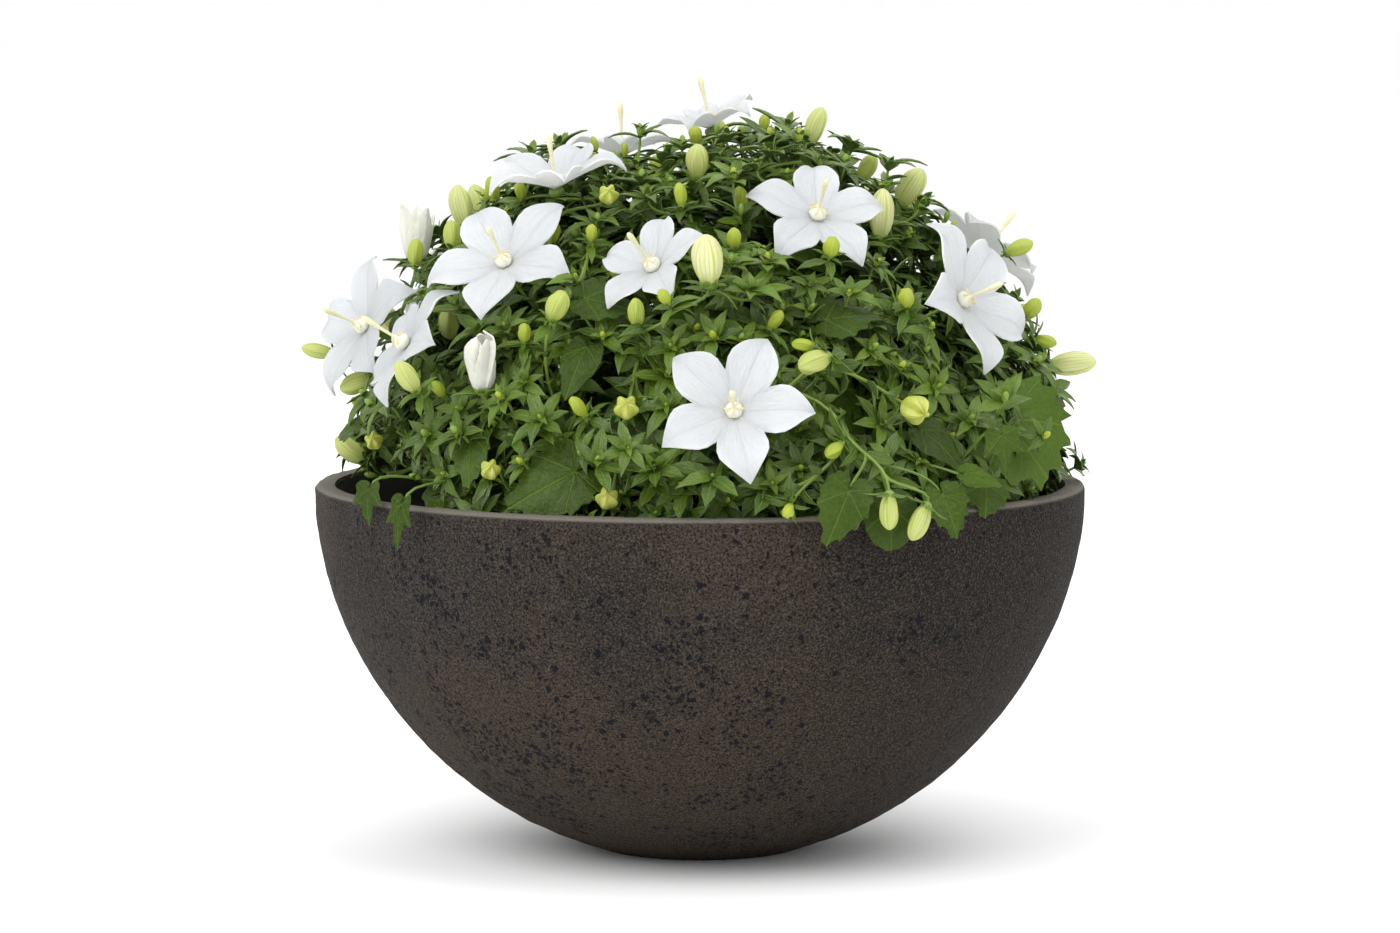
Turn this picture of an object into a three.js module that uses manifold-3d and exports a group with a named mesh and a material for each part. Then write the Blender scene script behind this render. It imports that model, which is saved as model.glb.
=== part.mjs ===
// A white bellflower in a half-round stone bowl: the bowl, its potting soil, the leafy stems that rise from
// the soil with their buds, and the open flowers, each with its corolla and its pistil.
// Millimetres, +Z up, the origin at the middle of the bowl's foot, and the side that faces the viewer at -Y.
import * as THREE from "three";
import { mergeVertices } from "three/addons/utils/BufferGeometryUtils.js";
import Module from "manifold-3d";

const wasm = await Module();
wasm.setup();

// The bowl
const BOWL_RADIUS = 110;
const BOWL_HEIGHT = 105.2;
const BOWL_WALL = 5.6;
const BOWL_FLOOR = 6;
const BOWL_WIDEST = 102; // height at which the wall stands upright
const BOWL_DEPTH = 105.7; // half-height of the curve that the wall follows
const BOWL_BEND = 1.85; // exponent of that curve
const RIM_ROUND = 1.8;
const BOWL_SIDES = 36;

// The soil
const SOIL_TOP = 91;
const SOIL_CROWN = 3; // how far the soil rises at its middle
const SOIL_SIDES = 20;
const HOLE_DEPTH = 11;
const HOLE_SLACK = 0.7; // how much wider than its stem a hole is, from the axis to a corner
const GAP = 0.35; // clearance between separate pieces that touch

// The picture's view, which places what it shows: a pixel's size at the bowl's axis, and the line of sight
const PIXEL = 0.2865;
const PICTURE_MIDDLE = [699.7, 466.5];
const AIM_HEIGHT = 109.3;
const VIEW_DISTANCE = 1500;
const VIEW_TILT = 5.25;

// The dome that the flowers make
const DOME_HEIGHT_AT = 98;
const DOME_RADIUS = 104;
const DOME_RISE = 110;
const CROWN = new THREE.Vector3(0, 0, 78); // the point that the stems fan out from

// Stems
const STEMS = 15;
const STEM_RADIUS = 1.2;
const STEM_STEPS = 5;
const STEM_SIDES = 4;
const STEM_CHOICE = 3; // how many of its nearest stems a head may grow from
const STALK_RADIUS = 0.75;
const STALK_SHORTEST = 11;
const STALK_LONG = 30; // past this length a stalk bends in one place more
const STALK_NECK = 2; // where a stalk widens into its head
const STALK_TRIES = 30;
const JOIN_TRIANGLES = 26; // the most that joining a stalk or leaf to its stem may add
const STEM_SPREAD = 32; // how far from the axis the outermost stems leave the soil
const STEM_REACH = 0.62; // share of the way to the dome at which a stem has split into its stalks
const GOLDEN = 137.508;
const SEED = 11;

// Petals and leaves
const PETALS = 5;
const PETAL_THICK = 1.2;
const LEAF_THICK = 1.1;
const PISTIL = 14;
const PISTIL_LIFT = 0.75;
const CALYX_BELOW = 2; // from the throat down to the middle of the calyx
const BELL_LIFT = 1.4;
const SMALL_LEAF = 13;
const FLOWER_SEPALS = 7.4; // from the axis to a sepal's tip

const rad = THREE.MathUtils.degToRad;
const vec = (x, y, z) => new THREE.Vector3(x, y, z);

// A repeatable draw from 0 to 1 for piece n and purpose k.
function drawn(n, k) {
  const wave = Math.sin(n * 12.9898 + k * 78.233 + SEED) * 43758.5453;
  return wave - Math.floor(wave);
}

// A direction from its azimuth, 0 towards the viewer and 90 to the right, and its height above the horizon.
function direction(azimuth, height) {
  const a = rad(azimuth);
  const h = rad(height);
  return vec(Math.sin(a) * Math.cos(h), -Math.cos(a) * Math.cos(h), Math.sin(h));
}

const SIGHT = vec(0, Math.cos(rad(VIEW_TILT)), -Math.sin(rad(VIEW_TILT)));
const SIGHT_UP = vec(0, Math.sin(rad(VIEW_TILT)), Math.cos(rad(VIEW_TILT)));

// The point of the dome, scaled by level, that shows at a pixel. Where the line of sight misses the dome, it is
// the point of that line nearest to it.
function fromPicture([px, py], level, deeper = 0) {
  const eye = vec(0, 0, AIM_HEIGHT).addScaledVector(SIGHT, -VIEW_DISTANCE);
  const focal = VIEW_DISTANCE / PIXEL;
  const ray = SIGHT.clone()
    .addScaledVector(vec(1, 0, 0), (px - PICTURE_MIDDLE[0]) / focal)
    .addScaledVector(SIGHT_UP, (PICTURE_MIDDLE[1] - py) / focal);
  const size = vec(DOME_RADIUS, DOME_RADIUS, DOME_RISE).multiplyScalar(level);
  const from = eye.clone().sub(vec(0, 0, DOME_HEIGHT_AT)).divide(size);
  const along = ray.clone().divide(size);
  const a = along.dot(along);
  const b = from.dot(along);
  const c = from.dot(from) - 1;
  const inside = Math.max(0, b * b - a * c);
  return eye.addScaledVector(ray, (-b - Math.sqrt(inside)) / a + deeper);
}

// A direction that points at a clock angle in the picture, 0 up and 90 right, and leans towards the viewer.
function leaning(clock, towards) {
  const c = rad(clock);
  const t = rad(towards);
  return vec(Math.sin(c), 0, 0)
    .addScaledVector(SIGHT_UP, Math.cos(c))
    .multiplyScalar(Math.cos(t))
    .addScaledVector(SIGHT, -Math.sin(t))
    .normalize();
}

function onDome(azimuth, height, level) {
  const d = direction(azimuth, height);
  return vec(d.x * DOME_RADIUS, d.y * DOME_RADIUS, d.z * DOME_RISE)
    .multiplyScalar(level)
    .add(vec(0, 0, DOME_HEIGHT_AT));
}

// Open flowers. at is the throat's place in the picture, or round its azimuth and height on the dome; faces is
// the azimuth and height that the flower looks to, reach the length of a petal, turn its roll, and cup how far
// the petals rise, as a share of reach.
const FLOWERS = [
  { at: [506, 266], faces: [-26, 46], reach: 23, turn: -41, cup: 0.24, level: 0.97 },
  { at: [656, 270], faces: [-41, 42], reach: 17.4, turn: -15, cup: 0.3, level: 0.95 },
  { at: [734, 413], faces: [-3, 26], reach: 22, turn: 23, cup: 0.33, level: 1 },
  { at: [816, 219], faces: [14, 46], reach: 20.5, turn: 8, cup: 0.2, level: 0.96 },
  { at: [957, 302], faces: [55, 21], reach: 23.5, turn: -20, cup: 0.34, level: 0.99 },
  { at: [368, 328], faces: [-58, 22], reach: 22, turn: -17, cup: 0.21, level: 0.98 },
  { at: [409, 346], faces: [-74, 32], reach: 20, turn: 10, cup: 0.12, level: 1.03 },
  { at: [556, 190], faces: [-40, 78], reach: 20.5, turn: -14, cup: 0.42, level: 0.97 },
  { round: [-129, 73], faces: [-118, 87], reach: 15.5, turn: -9, cup: 0.38, level: 0.945 },
  { round: [155, 85.5], faces: [-70, 76], reach: 15.5, turn: -11, cup: 0.42, level: 0.98 },
  { round: [148, 68], faces: [120, 58], reach: 13.5, turn: 0, cup: 0.3, level: 0.97 },
  { round: [101, 39], faces: [114, 50], reach: 20, turn: 31, cup: 0.22, level: 1.03 },
  { round: [112, 13], faces: [108, 12], reach: 18, turn: 50, cup: 0.3, level: 0.98 },
  { round: [-115, 17], faces: [-118, 18], reach: 17, turn: 15, cup: 0.22, level: 0.95 },
  { round: [-120, 36], faces: [-122, 34], reach: 20, turn: 5, cup: 0.28, level: 0.97 },
  { round: [-152, 16], faces: [-150, 20], reach: 21, turn: 33, cup: 0.32, level: 0.98 },
  { round: [176, 34], faces: [178, 36], reach: 21, turn: 52, cup: 0.24, level: 0.97 },
  { round: [148, 14], faces: [150, 14], reach: 19.5, turn: 14, cup: 0.3, level: 0.98 },
  { round: [-176, 12], faces: [-178, 14], reach: 17, turn: 40, cup: 0.34, level: 0.98 },
];

// Flowers that are about to open, still bells: base is the place of the bell's foot.
const BELLS = [
  { base: [416, 264], tip: 0, towards: 5, long: 16, wide: 10.5, level: 0.93 },
  { base: [484, 393], tip: -4, towards: 14, long: 15, wide: 9.6, level: 0.97 },
];

// Buds: at is the middle in the picture, tip the clock angle of the point, and long and wide the size.
const BUDS = [
  { at: [1071, 364], tip: 84, towards: 0, long: 14.4, wide: 7 },
  { at: [461, 207], tip: -12, towards: 0, long: 13, wide: 6.6 },
  { at: [452, 236], tip: -6, towards: 0, long: 9, wide: 5.4, level: 0.99 },
  { at: [415, 253], tip: 4, towards: 20, long: 8.6, wide: 4.6, level: 1.03 },
  { at: [319, 351], tip: -80, towards: 0, long: 10.5, wide: 4.4, deeper: 16 },
  { at: [449, 322], tip: 176, towards: 10, long: 10, wide: 6, level: 0.86 },
  { at: [492, 189], tip: -10, towards: 10, long: 7.4, wide: 4.2 },
  { at: [520, 191], tip: -8, towards: 30, long: 6, wide: 3.4 },
  { at: [553, 234], tip: 10, towards: 0, long: 6.6, wide: 3.8, level: 0.88 },
  { at: [591, 233], tip: 5, towards: 30, long: 5.4, wide: 3.2 },
  { at: [608, 195], tip: 15, towards: 65, long: 5.4, wide: 5 },
  { at: [697, 162], tip: 0, towards: 30, long: 11, wide: 6.4 },
  { at: [695, 135], tip: -8, towards: 30, long: 5.6, wide: 3.8, deeper: -12 },
  { at: [680, 195], tip: -8, towards: 10, long: 7, wide: 3.6 },
  { at: [557, 306], tip: 24, towards: 25, long: 9.6, wide: 6.2 },
  { at: [524, 333], tip: 0, towards: 35, long: 6.2, wide: 3.6 },
  { at: [636, 313], tip: -4, towards: 20, long: 8.6, wide: 4.6 },
  { at: [664, 297], tip: -32, towards: 25, long: 5.2, wide: 3.2, level: 1.09 },
  { at: [707, 261], tip: -4, towards: 20, long: 15, wide: 8.4, level: 1.11 },
  { at: [407, 377], tip: -34, towards: 30, long: 11, wide: 5.6 },
  { at: [438, 389], tip: -38, towards: 30, long: 5.8, wide: 3.4 },
  { at: [356, 383], tip: -112, towards: 0, long: 10, wide: 6, level: 0.88 },
  { at: [374, 441], tip: -20, towards: 70, long: 6, wide: 4.6 },
  { at: [351, 450], tip: -52, towards: 0, long: 11.4, wide: 6.4 },
  { at: [490, 470], tip: 20, towards: 62, long: 5.6, wide: 5 },
  { at: [626, 408], tip: 0, towards: 68, long: 6, wide: 6 },
  { at: [578, 407], tip: -38, towards: 32, long: 7.6, wide: 3.6 },
  { at: [607, 499], tip: 0, towards: 62, long: 5.6, wide: 5.6 },
  { at: [815, 127], tip: 20, towards: 0, long: 12, wide: 5.8 },
  { at: [764, 123], tip: 12, towards: 10, long: 5.4, wide: 3.2 },
  { at: [867, 168], tip: 32, towards: 5, long: 8.8, wide: 5 },
  { at: [910, 188], tip: 32, towards: 5, long: 13, wide: 7.4 },
  { at: [881, 215], tip: 4, towards: 10, long: 15, wide: 7 },
  { at: [740, 199], tip: -6, towards: 20, long: 7.4, wide: 4.2, level: 0.9 },
  { at: [831, 247], tip: 12, towards: 35, long: 6.6, wide: 4.6, level: 1.05 },
  { at: [734, 238], tip: -4, towards: 20, long: 6, wide: 4 },
  { at: [1019, 248], tip: 66, towards: 10, long: 8.6, wide: 4.6 },
  { at: [1031, 309], tip: 40, towards: 0, long: 7.4, wide: 4.8 },
  { at: [1045, 341], tip: 106, towards: 10, long: 6.8, wide: 3.6, deeper: -9 },
  { at: [775, 320], tip: 36, towards: 25, long: 6.6, wide: 3.6 },
  { at: [906, 298], tip: -12, towards: 50, long: 6.6, wide: 4.6, level: 1.02 },
  { at: [814, 362], tip: -112, towards: 30, long: 10.4, wide: 6.2 },
  { at: [803, 345], tip: -84, towards: 0, long: 6.4, wide: 3.4, level: 1.03 },
  { at: [914, 409], tip: 120, towards: 45, long: 8.4, wide: 7, level: 1.05 },
  { at: [1040, 403], tip: 84, towards: 20, long: 8, wide: 4.4, deeper: 6 },
  { at: [834, 450], tip: -130, towards: 30, long: 6.6, wide: 4, level: 1.06 },
  { at: [889, 511], tip: 180, towards: 4, long: 10.2, wide: 5.2, level: 1.19 },
  { at: [919, 522], tip: -156, towards: 4, long: 10.8, wide: 5.4, level: 1.19 },
  { at: [788, 511], tip: 200, towards: 50, long: 5, wide: 3.4, level: 1.09 },
];

// Buds on the side that the picture doesn't show, in rings of the dome: its height, and how many stand round it.
const BACK_BUDS = [
  { height: 4, count: 5, from: 122, to: 238, long: 11, wide: 5.6 },
  { height: 25, count: 5, from: 118, to: 246, long: 9, wide: 4.6 },
  { height: 44, count: 4, from: 122, to: 244, long: 12, wide: 6.2 },
  { height: 64, count: 3, from: 120, to: 246, long: 8, wide: 4.4 },
];

// Broad toothed leaves low on the plant: at is the middle, tip the clock angle of the point, and faces the
// azimuth and height that the upper side looks to.
const BROAD_LEAVES = [
  { at: [556, 478], tip: -140, faces: [-8, 28], long: 32, wide: 26, level: 0.87 },
  { at: [840, 516], tip: -160, faces: [10, 14], long: 25, wide: 17, level: 1.125 },
  { at: [889, 531], tip: 176, faces: [20, 10], long: 20, wide: 19, level: 1.12 },
  { at: [934, 441], tip: 140, faces: [30, 46], long: 23, wide: 16, level: 0.97 },
  { at: [973, 478], tip: 92, faces: [30, 60], long: 16, wide: 8, level: 0.98 },
  { at: [1034, 436], tip: 168, faces: [44, 14], long: 31, wide: 29, level: 0.93 },
  { at: [952, 522], tip: 120, faces: [24, 34], long: 17, wide: 11, level: 1.12 },
  { at: [612, 352], tip: -20, faces: [-4, 60], long: 32, wide: 25, level: 0.8 },
  { at: [852, 316], tip: 40, faces: [10, 52], long: 24, wide: 20, level: 0.9 },
  { at: [470, 452], tip: 172, faces: [-30, 30], long: 18, wide: 11, level: 0.97 },
  { at: [712, 497], tip: 184, faces: [0, 28], long: 18, wide: 13, level: 0.93 },
  { at: [768, 492], tip: 150, faces: [8, 34], long: 20, wide: 15, level: 0.9 },
  { at: [367, 503], tip: 184, faces: [-40, 10], long: 10.5, wide: 6.4, level: 1.08 },
  { at: [398, 525], tip: 192, faces: [-26, 10], long: 13, wide: 6.6, level: 1.12 },
  { at: [350, 430], tip: -70, faces: [-60, 40], long: 16, wide: 11, level: 0.98 },
  { at: [448, 490], tip: -150, faces: [-24, 30], long: 24, wide: 19, level: 0.86 },
  { at: [556, 398], tip: -60, faces: [-12, 40], long: 26, wide: 19, level: 0.86 },
  { at: [660, 470], tip: 140, faces: [0, 44], long: 24, wide: 18, level: 0.9 },
  { at: [806, 440], tip: 60, faces: [8, 40], long: 22, wide: 16, level: 0.88 },
];
const BACK_LEAVES = { count: 8, from: 106, to: 268, height: 10, long: 25, wide: 20 };

// Leafy rosettes with a young bud at the heart fill the dome between the flowers and buds.
const ROSETTE_TRIES = 150;
const ROSETTE_APART = 18;
const ROSETTE_SPREAD = 10;
const ROSETTE_CLEAR = 5.5; // room that a rosette leaves round another head
const BUD_CLEAR = 8.5;
const BELL_CLEAR = 9;

// Everything that a stalk ends in: its foot, its axis, its kind and its sizes.
function listHeads() {
  const heads = [];
  FLOWERS.forEach((f, i) => {
    const throat = f.at ? fromPicture(f.at, f.level) : onDome(...f.round, f.level);
    const axis = direction(...f.faces);
    const foot = throat.clone().addScaledVector(axis, -CALYX_BELOW);
    heads.push({ kind: "flower", name: i + 1, foot, axis, middle: throat, clear: f.reach * 0.8, ...f });
  });
  BELLS.forEach((b, i) => {
    const foot = fromPicture(b.base, b.level);
    const axis = leaning(b.tip, b.towards);
    const middle = foot.clone().addScaledVector(axis, b.long / 2);
    heads.push({ kind: "bell", name: FLOWERS.length + i + 1, foot, axis, middle, clear: BELL_CLEAR, ...b });
  });
  BUDS.forEach((b) => {
    const middle = fromPicture(b.at, b.level ?? 0.97, b.deeper);
    const axis = leaning(b.tip, b.towards);
    const foot = middle.clone().addScaledVector(axis, -b.long / 2);
    heads.push({ kind: "bud", foot, axis, middle, clear: BUD_CLEAR, ...b });
  });
  BACK_BUDS.forEach((ring, r) => {
    for (let i = 0; i < ring.count; i++) {
      const azimuth = ring.from + ((ring.to - ring.from) * (i + 0.5)) / ring.count;
      const axis = direction(azimuth, ring.height + 24);
      const long = ring.long * (0.75 + 0.45 * drawn(i + 10 * r, 1));
      const wide = (ring.wide * long) / ring.long;
      const foot = onDome(azimuth, ring.height, 0.95);
      const middle = foot.clone().addScaledVector(axis, long / 2);
      heads.push({ kind: "bud", foot, axis, middle, clear: BUD_CLEAR, long, wide });
    }
  });
  addRosettes(heads);
  heads.forEach((h, i) => (h.order = i));
  return heads;
}

// Rosettes go where a spiral over the dome finds room.
function addRosettes(heads) {
  for (let i = 0; i < ROSETTE_TRIES; i++) {
    const height = THREE.MathUtils.radToDeg(Math.asin(0.03 + (0.95 * (i + 0.5)) / ROSETTE_TRIES));
    const azimuth = i * GOLDEN;
    const level = 0.84 + 0.1 * drawn(i, 2);
    const foot = onDome(azimuth, height, level);
    const axis = direction(azimuth + 30 * (drawn(i, 3) - 0.5), Math.min(88, height + 30 * drawn(i, 4)));
    const room = heads.every((h) => {
      const apart = h.kind === "rosette" ? ROSETTE_APART : h.clear + ROSETTE_CLEAR;
      return h.middle.distanceTo(foot) > apart;
    });
    const spread = ROSETTE_SPREAD * (1 + 0.26 * drawn(i, 5));
    if (room) heads.push({ kind: "rosette", foot, axis, middle: foot, spread, turn: 72 * drawn(i, 6) });
  }
}

// The leafy stems: each leaves the soil at its root and bends out to its head, where its stalks begin.
function listStems() {
  return Array.from({ length: STEMS }, (_, k) => {
    const height = THREE.MathUtils.radToDeg(Math.asin(0.14 + (0.84 * (k + 0.5)) / STEMS));
    const azimuth = k * GOLDEN + 20;
    const out = direction(azimuth, 0).multiplyScalar(STEM_SPREAD * Math.cos(rad(height)));
    const root = out.clone().setZ(SOIL_TOP - HOLE_DEPTH);
    const head = CROWN.clone().lerp(onDome(azimuth, height, 1), STEM_REACH);
    head.z = Math.max(head.z, SOIL_TOP + 12);
    const bend = out.clone().multiplyScalar(1.15).setZ(SOIL_TOP + 0.55 * (head.z - SOIL_TOP));
    const curve = new THREE.QuadraticBezierCurve3(root, bend, head);
    const towards = head.clone().sub(CROWN).normalize();
    const name = `leafy_stem_${String(k + 1).padStart(2, "0")}`;
    return { name, towards, curve, branches: [curve.getSpacedPoints(STEM_STEPS)] };
  });
}

// The stems by how near they point to a place, nearest first.
function nearStems(stems, place) {
  const way = place.clone().sub(CROWN).normalize();
  return [...stems].sort((a, b) => way.angleTo(a.towards) - way.angleTo(b.towards)).slice(0, STEM_CHOICE);
}

// The place and the way at a share of the length of a branch, which is a chain of points.
function alongBranch(points, share) {
  const step = share * (points.length - 1);
  const i = Math.min(points.length - 2, Math.floor(step));
  const place = points[i].clone().lerp(points[i + 1], step - i);
  return { place, tangent: points[i + 1].clone().sub(points[i]).normalize() };
}

// Where a stalk may leave its stem or an earlier stalk, best first: near to the head, and with little turn.
function stalkStarts(stem, foot) {
  const starts = [];
  stem.branches.forEach((branch, b) => {
    const shares = b ? [0.4, 0.6, 0.8] : [0.34, 0.5, 0.66, 0.82, 0.97];
    shares.forEach((share) => {
      const { place, tangent } = alongBranch(branch, share);
      const way = foot.clone().sub(place);
      const long = way.length();
      const cost = long * (1.7 - 0.7 * Math.cos(way.angleTo(tangent))) + (long < STALK_SHORTEST ? 60 : 0);
      starts.push({ place, tangent, cost });
    });
  });
  return starts.sort((a, b) => a.cost - b.cost);
}

// A stalk from its start to the foot of a head or leaf, where it arrives along the given way.
function stalkCurve(start, foot, arrival) {
  const long = start.place.distanceTo(foot);
  const first = start.place.clone().addScaledVector(start.tangent, long * 0.3);
  const last = foot.clone().addScaledVector(arrival, -long * 0.35);
  return new THREE.CubicBezierCurve3(start.place, first, last, foot.clone());
}

// Geometry to solids

// A geometry as a solid: vertices merged by place, and the triangles that this collapses left out.
function toSolid(geometry) {
  const bare = geometry.clone();
  ["normal", "uv"].forEach((name) => bare.deleteAttribute(name));
  const merged = mergeVertices(bare, 1e-3);
  const triangles = [];
  const index = merged.index.array;
  for (let i = 0; i < index.length; i += 3) {
    const [a, b, c] = [index[i], index[i + 1], index[i + 2]];
    if (a !== b && b !== c && c !== a) triangles.push(a, b, c);
  }
  const vertProperties = new Float32Array(merged.attributes.position.array);
  return new wasm.Manifold(
    new wasm.Mesh({ numProp: 3, vertProperties, triVerts: new Uint32Array(triangles) }),
  );
}

function toGeometry(solid) {
  const { numProp, numVert, vertProperties, triVerts } = solid.getMesh();
  const places = new Float32Array(numVert * 3);
  for (let i = 0; i < numVert; i++) {
    places.set(vertProperties.subarray(i * numProp, i * numProp + 3), i * 3);
  }
  const geometry = new THREE.BufferGeometry()
    .setAttribute("position", new THREE.BufferAttribute(places, 3))
    .setIndex(new THREE.BufferAttribute(triVerts, 1))
    .toNonIndexed();
  geometry.computeVertexNormals();
  return geometry;
}

// The frame that stands +Z on an axis at a place, with a turn about it. Up stays as near to +Y as it can.
function standing(place, axis, turn = 0) {
  const side = Math.abs(axis.z) > 0.999 ? vec(1, 0, 0) : vec(0, 0, 1).cross(axis).normalize();
  const up = axis.clone().cross(side);
  return new THREE.Matrix4()
    .makeBasis(side, up, axis)
    .setPosition(place)
    .multiply(new THREE.Matrix4().makeRotationZ(rad(-turn)));
}

// A thin blade: a rim of points, with inner points that are raised and sunk by half the thickness, so that the
// blade is thickest along them and sharp at its rim. faces index the rim first, and then the inner points.
function blade(rim, inner, faces, thick) {
  const lift = vec(0, 0, thick / 2);
  const points = [
    ...rim,
    ...inner.map((p) => p.clone().add(lift)),
    ...inner.map((p) => p.clone().sub(lift)),
  ];
  const below = (i) => (i < rim.length ? i : i + inner.length);
  const corners = [];
  faces.forEach(([a, b, c]) => corners.push(a, b, c, below(c), below(b), below(a)));
  const geometry = new THREE.BufferGeometry();
  const places = points.flatMap((p) => p.toArray());
  geometry.setAttribute("position", new THREE.Float32BufferAttribute(places, 3));
  geometry.setIndex(corners);
  return geometry;
}

// A round stalk with few sides along a curve.
function tube(curve, radius, sides, steps) {
  const corners = Array.from({ length: sides }, (_, i) => {
    const a = (2 * Math.PI * i) / sides;
    return new THREE.Vector2(radius * Math.cos(a), radius * Math.sin(a));
  });
  const section = new THREE.Shape(corners);
  return new THREE.ExtrudeGeometry(section, { steps, extrudePath: curve, curveSegments: 1 });
}

function turned(profile, sides) {
  const points = profile.map(([r, z]) => new THREE.Vector2(r, z));
  return new THREE.LatheGeometry(points, sides).rotateX(Math.PI / 2);
}

// A corolla that opens to +Z: five broad pointed petals that rise, joined to half their length, from the throat.
function corollaGeometry({ reach, cup }) {
  const rim = [];
  const inner = [vec(0, 0, 0)];
  const faces = [];
  const outline = [
    [0.4, -0.29, 0.66],
    [0.64, -0.31, 0.94],
    [0.85, -0.16, 1.06],
    [1, 0, 1],
    [0.85, 0.16, 1.06],
    [0.64, 0.31, 0.94],
  ];
  const heart = PETALS * outline.length;
  for (let p = 0; p < PETALS; p++) {
    const turn = (-2 * Math.PI * p) / PETALS;
    const place = ([out, side, up]) =>
      vec(side, out, up * cup).multiplyScalar(reach).applyAxisAngle(vec(0, 0, 1), turn);
    outline.forEach((point) => rim.push(place(point)));
    inner.push(place([0.62, 0, 0.72]));
    const rib = heart + 1 + p;
    const first = p * outline.length;
    const next = ((p + 1) % PETALS) * outline.length;
    for (let i = 0; i < outline.length; i++) {
      const after = i + 1 < outline.length ? first + i + 1 : next;
      faces.push([rib, after, first + i]);
    }
    faces.push([rib, first, heart], [rib, heart, next]);
  }
  return blade(rim, inner, faces, PETAL_THICK);
}

// A closed skin over rings of points, from the lowest to the highest, each counterclockwise from above. A ring
// of one point ends it, and neighbouring rings may have different numbers of points.
function skin(rings) {
  const corners = [];
  const starts = [];
  rings.reduce((sum, ring) => (starts.push(sum), sum + ring.length), 0);
  for (let i = 2; i < rings[0].length; i++) corners.push(0, i, i - 1);
  for (let r = 0; r + 1 < rings.length; r++) {
    const [n, m] = [rings[r].length, rings[r + 1].length];
    const low = (i) => starts[r] + (i % n);
    const high = (j) => starts[r + 1] + (j % m);
    for (let i = 0, j = 0; i < n || (m > 1 && j < m); ) {
      if (m === 1 || (i < n && (i + 1) * m <= (j + 1) * n)) corners.push(low(i), low(++i), high(j));
      else corners.push(low(i), high(j + 1), high(j++));
    }
  }
  const geometry = new THREE.BufferGeometry();
  const places = rings.flat().flatMap((p) => p.toArray());
  geometry.setAttribute("position", new THREE.Float32BufferAttribute(places, 3));
  geometry.setIndex(corners);
  return geometry;
}

// A ring in the plane of +Z: for each of the five parts of a flower, points by angle, radius and height.
function fiveFold(points) {
  const ring = [];
  for (let i = 0; i < PETALS; i++) {
    points.forEach(([angle, radius, height]) => {
      const a = rad(angle + (360 * i) / PETALS);
      ring.push(vec(radius * Math.cos(a), radius * Math.sin(a), height));
    });
  }
  return ring;
}

const NOTCH = -180 / PETALS;

// The rings of a star of narrow sepals.
function sepalRing(spread, rise) {
  return fiveFold([
    [NOTCH, 0.17 * spread, 0],
    [0, spread, rise * spread],
  ]);
}

// The ring of a rosette of pointed leaves.
function rosetteRing(spread, rise) {
  return fiveFold([
    [NOTCH, 0.17 * spread, 0],
    [-23, 0.55 * spread, 0.7 * rise * spread],
    [0, spread, rise * spread],
    [23, 0.55 * spread, 0.7 * rise * spread],
  ]);
}

// The rings of a five-angled bud.
function budRings(long, wide) {
  return [
    fiveFold([[NOTCH, 0.44 * wide, 0.2 * long]]),
    fiveFold([[NOTCH, 0.42 * wide, 0.66 * long]]),
    [vec(0, 0, long)],
  ];
}

// A bell with five lobes at its mouth, standing on +Z and closed over by its lobes.
function bellGeometry(long, wide) {
  const half = wide / 2;
  const profile = [
    [0, 0],
    [half * 0.7, long * 0.08],
    [half, long * 0.34],
    [half * 0.84, long * 0.74],
    [0, long * 0.66],
  ];
  const bell = turned(profile, 2 * PETALS);
  const place = bell.attributes.position;
  for (let i = 0; i < place.count; i++) {
    const mouth = Math.abs(place.getZ(i) - long * 0.74) < 1e-3;
    const lobe = Math.sin(PETALS * Math.atan2(place.getY(i), place.getX(i)));
    if (mouth) place.setZ(i, long * (0.86 + 0.14 * lobe));
  }
  return bell;
}

function pistilGeometry() {
  const profile = [
    [0, 0],
    [1.7, 1.2],
    [0.6, 2.6],
    [0.8, PISTIL * 0.86],
    [0, PISTIL],
  ];
  return turned(profile, 4);
}

// A leaf along +Y from its foot, upper side to +Z: its teeth are points of the rim, and its rib is arched.
function leafGeometry({ long, wide, teeth, arch }) {
  const rim = [vec(0, 0, 0)];
  const half = (share) => wide * 0.5 * Math.pow(Math.sin(Math.PI * Math.pow(share, 0.62)), 0.8);
  const droop = (share) => arch * long * Math.sin(Math.PI * share) - 0.5 * arch * long * share;
  const side = (hand) =>
    Array.from({ length: 2 * teeth - 1 }, (_, i) => {
      const share = (i + 1) / (2 * teeth);
      const cut = i % 2 ? 0.84 : 1;
      return vec(hand * half(share) * cut, share * long, droop(share) + 0.1 * wide * cut);
    });
  const left = side(-1);
  const right = side(1);
  rim.push(...left, vec(0, long, droop(1)), ...right.reverse());
  const ribs = teeth > 2 ? [0.2, 0.5, 0.8] : [0.4];
  const inner = ribs.map((share) => vec(0, share * long, droop(share)));
  const faces = [];
  const owner = (i) => {
    const share = rim[i].y / long;
    const gaps = ribs.map((r) => Math.abs(r - share));
    return gaps.indexOf(Math.min(...gaps));
  };
  rim.forEach((_, i) => {
    const next = (i + 1) % rim.length;
    const [a, b] = [owner(i), owner(next)];
    faces.push([rim.length + b, next, i]);
    if (a !== b) faces.push([rim.length + b, i, rim.length + a]);
  });
  return blade(rim, inner, faces, LEAF_THICK);
}

// The pieces that are placed so far, each in its node, so that a new one can be tested against them.
const placed = [];

// The placed solids of other nodes that a new one would touch.
function touching(solid, node) {
  const box = solid.boundingBox();
  return placed.filter((other) => {
    if (other.node === node) return false;
    const apart = [0, 1, 2].some(
      (i) => box.min[i] > other.box.max[i] + GAP || box.max[i] < other.box.min[i] - GAP,
    );
    return !apart && solid.minGap(other.solid, 2 * GAP) < GAP;
  });
}

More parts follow.
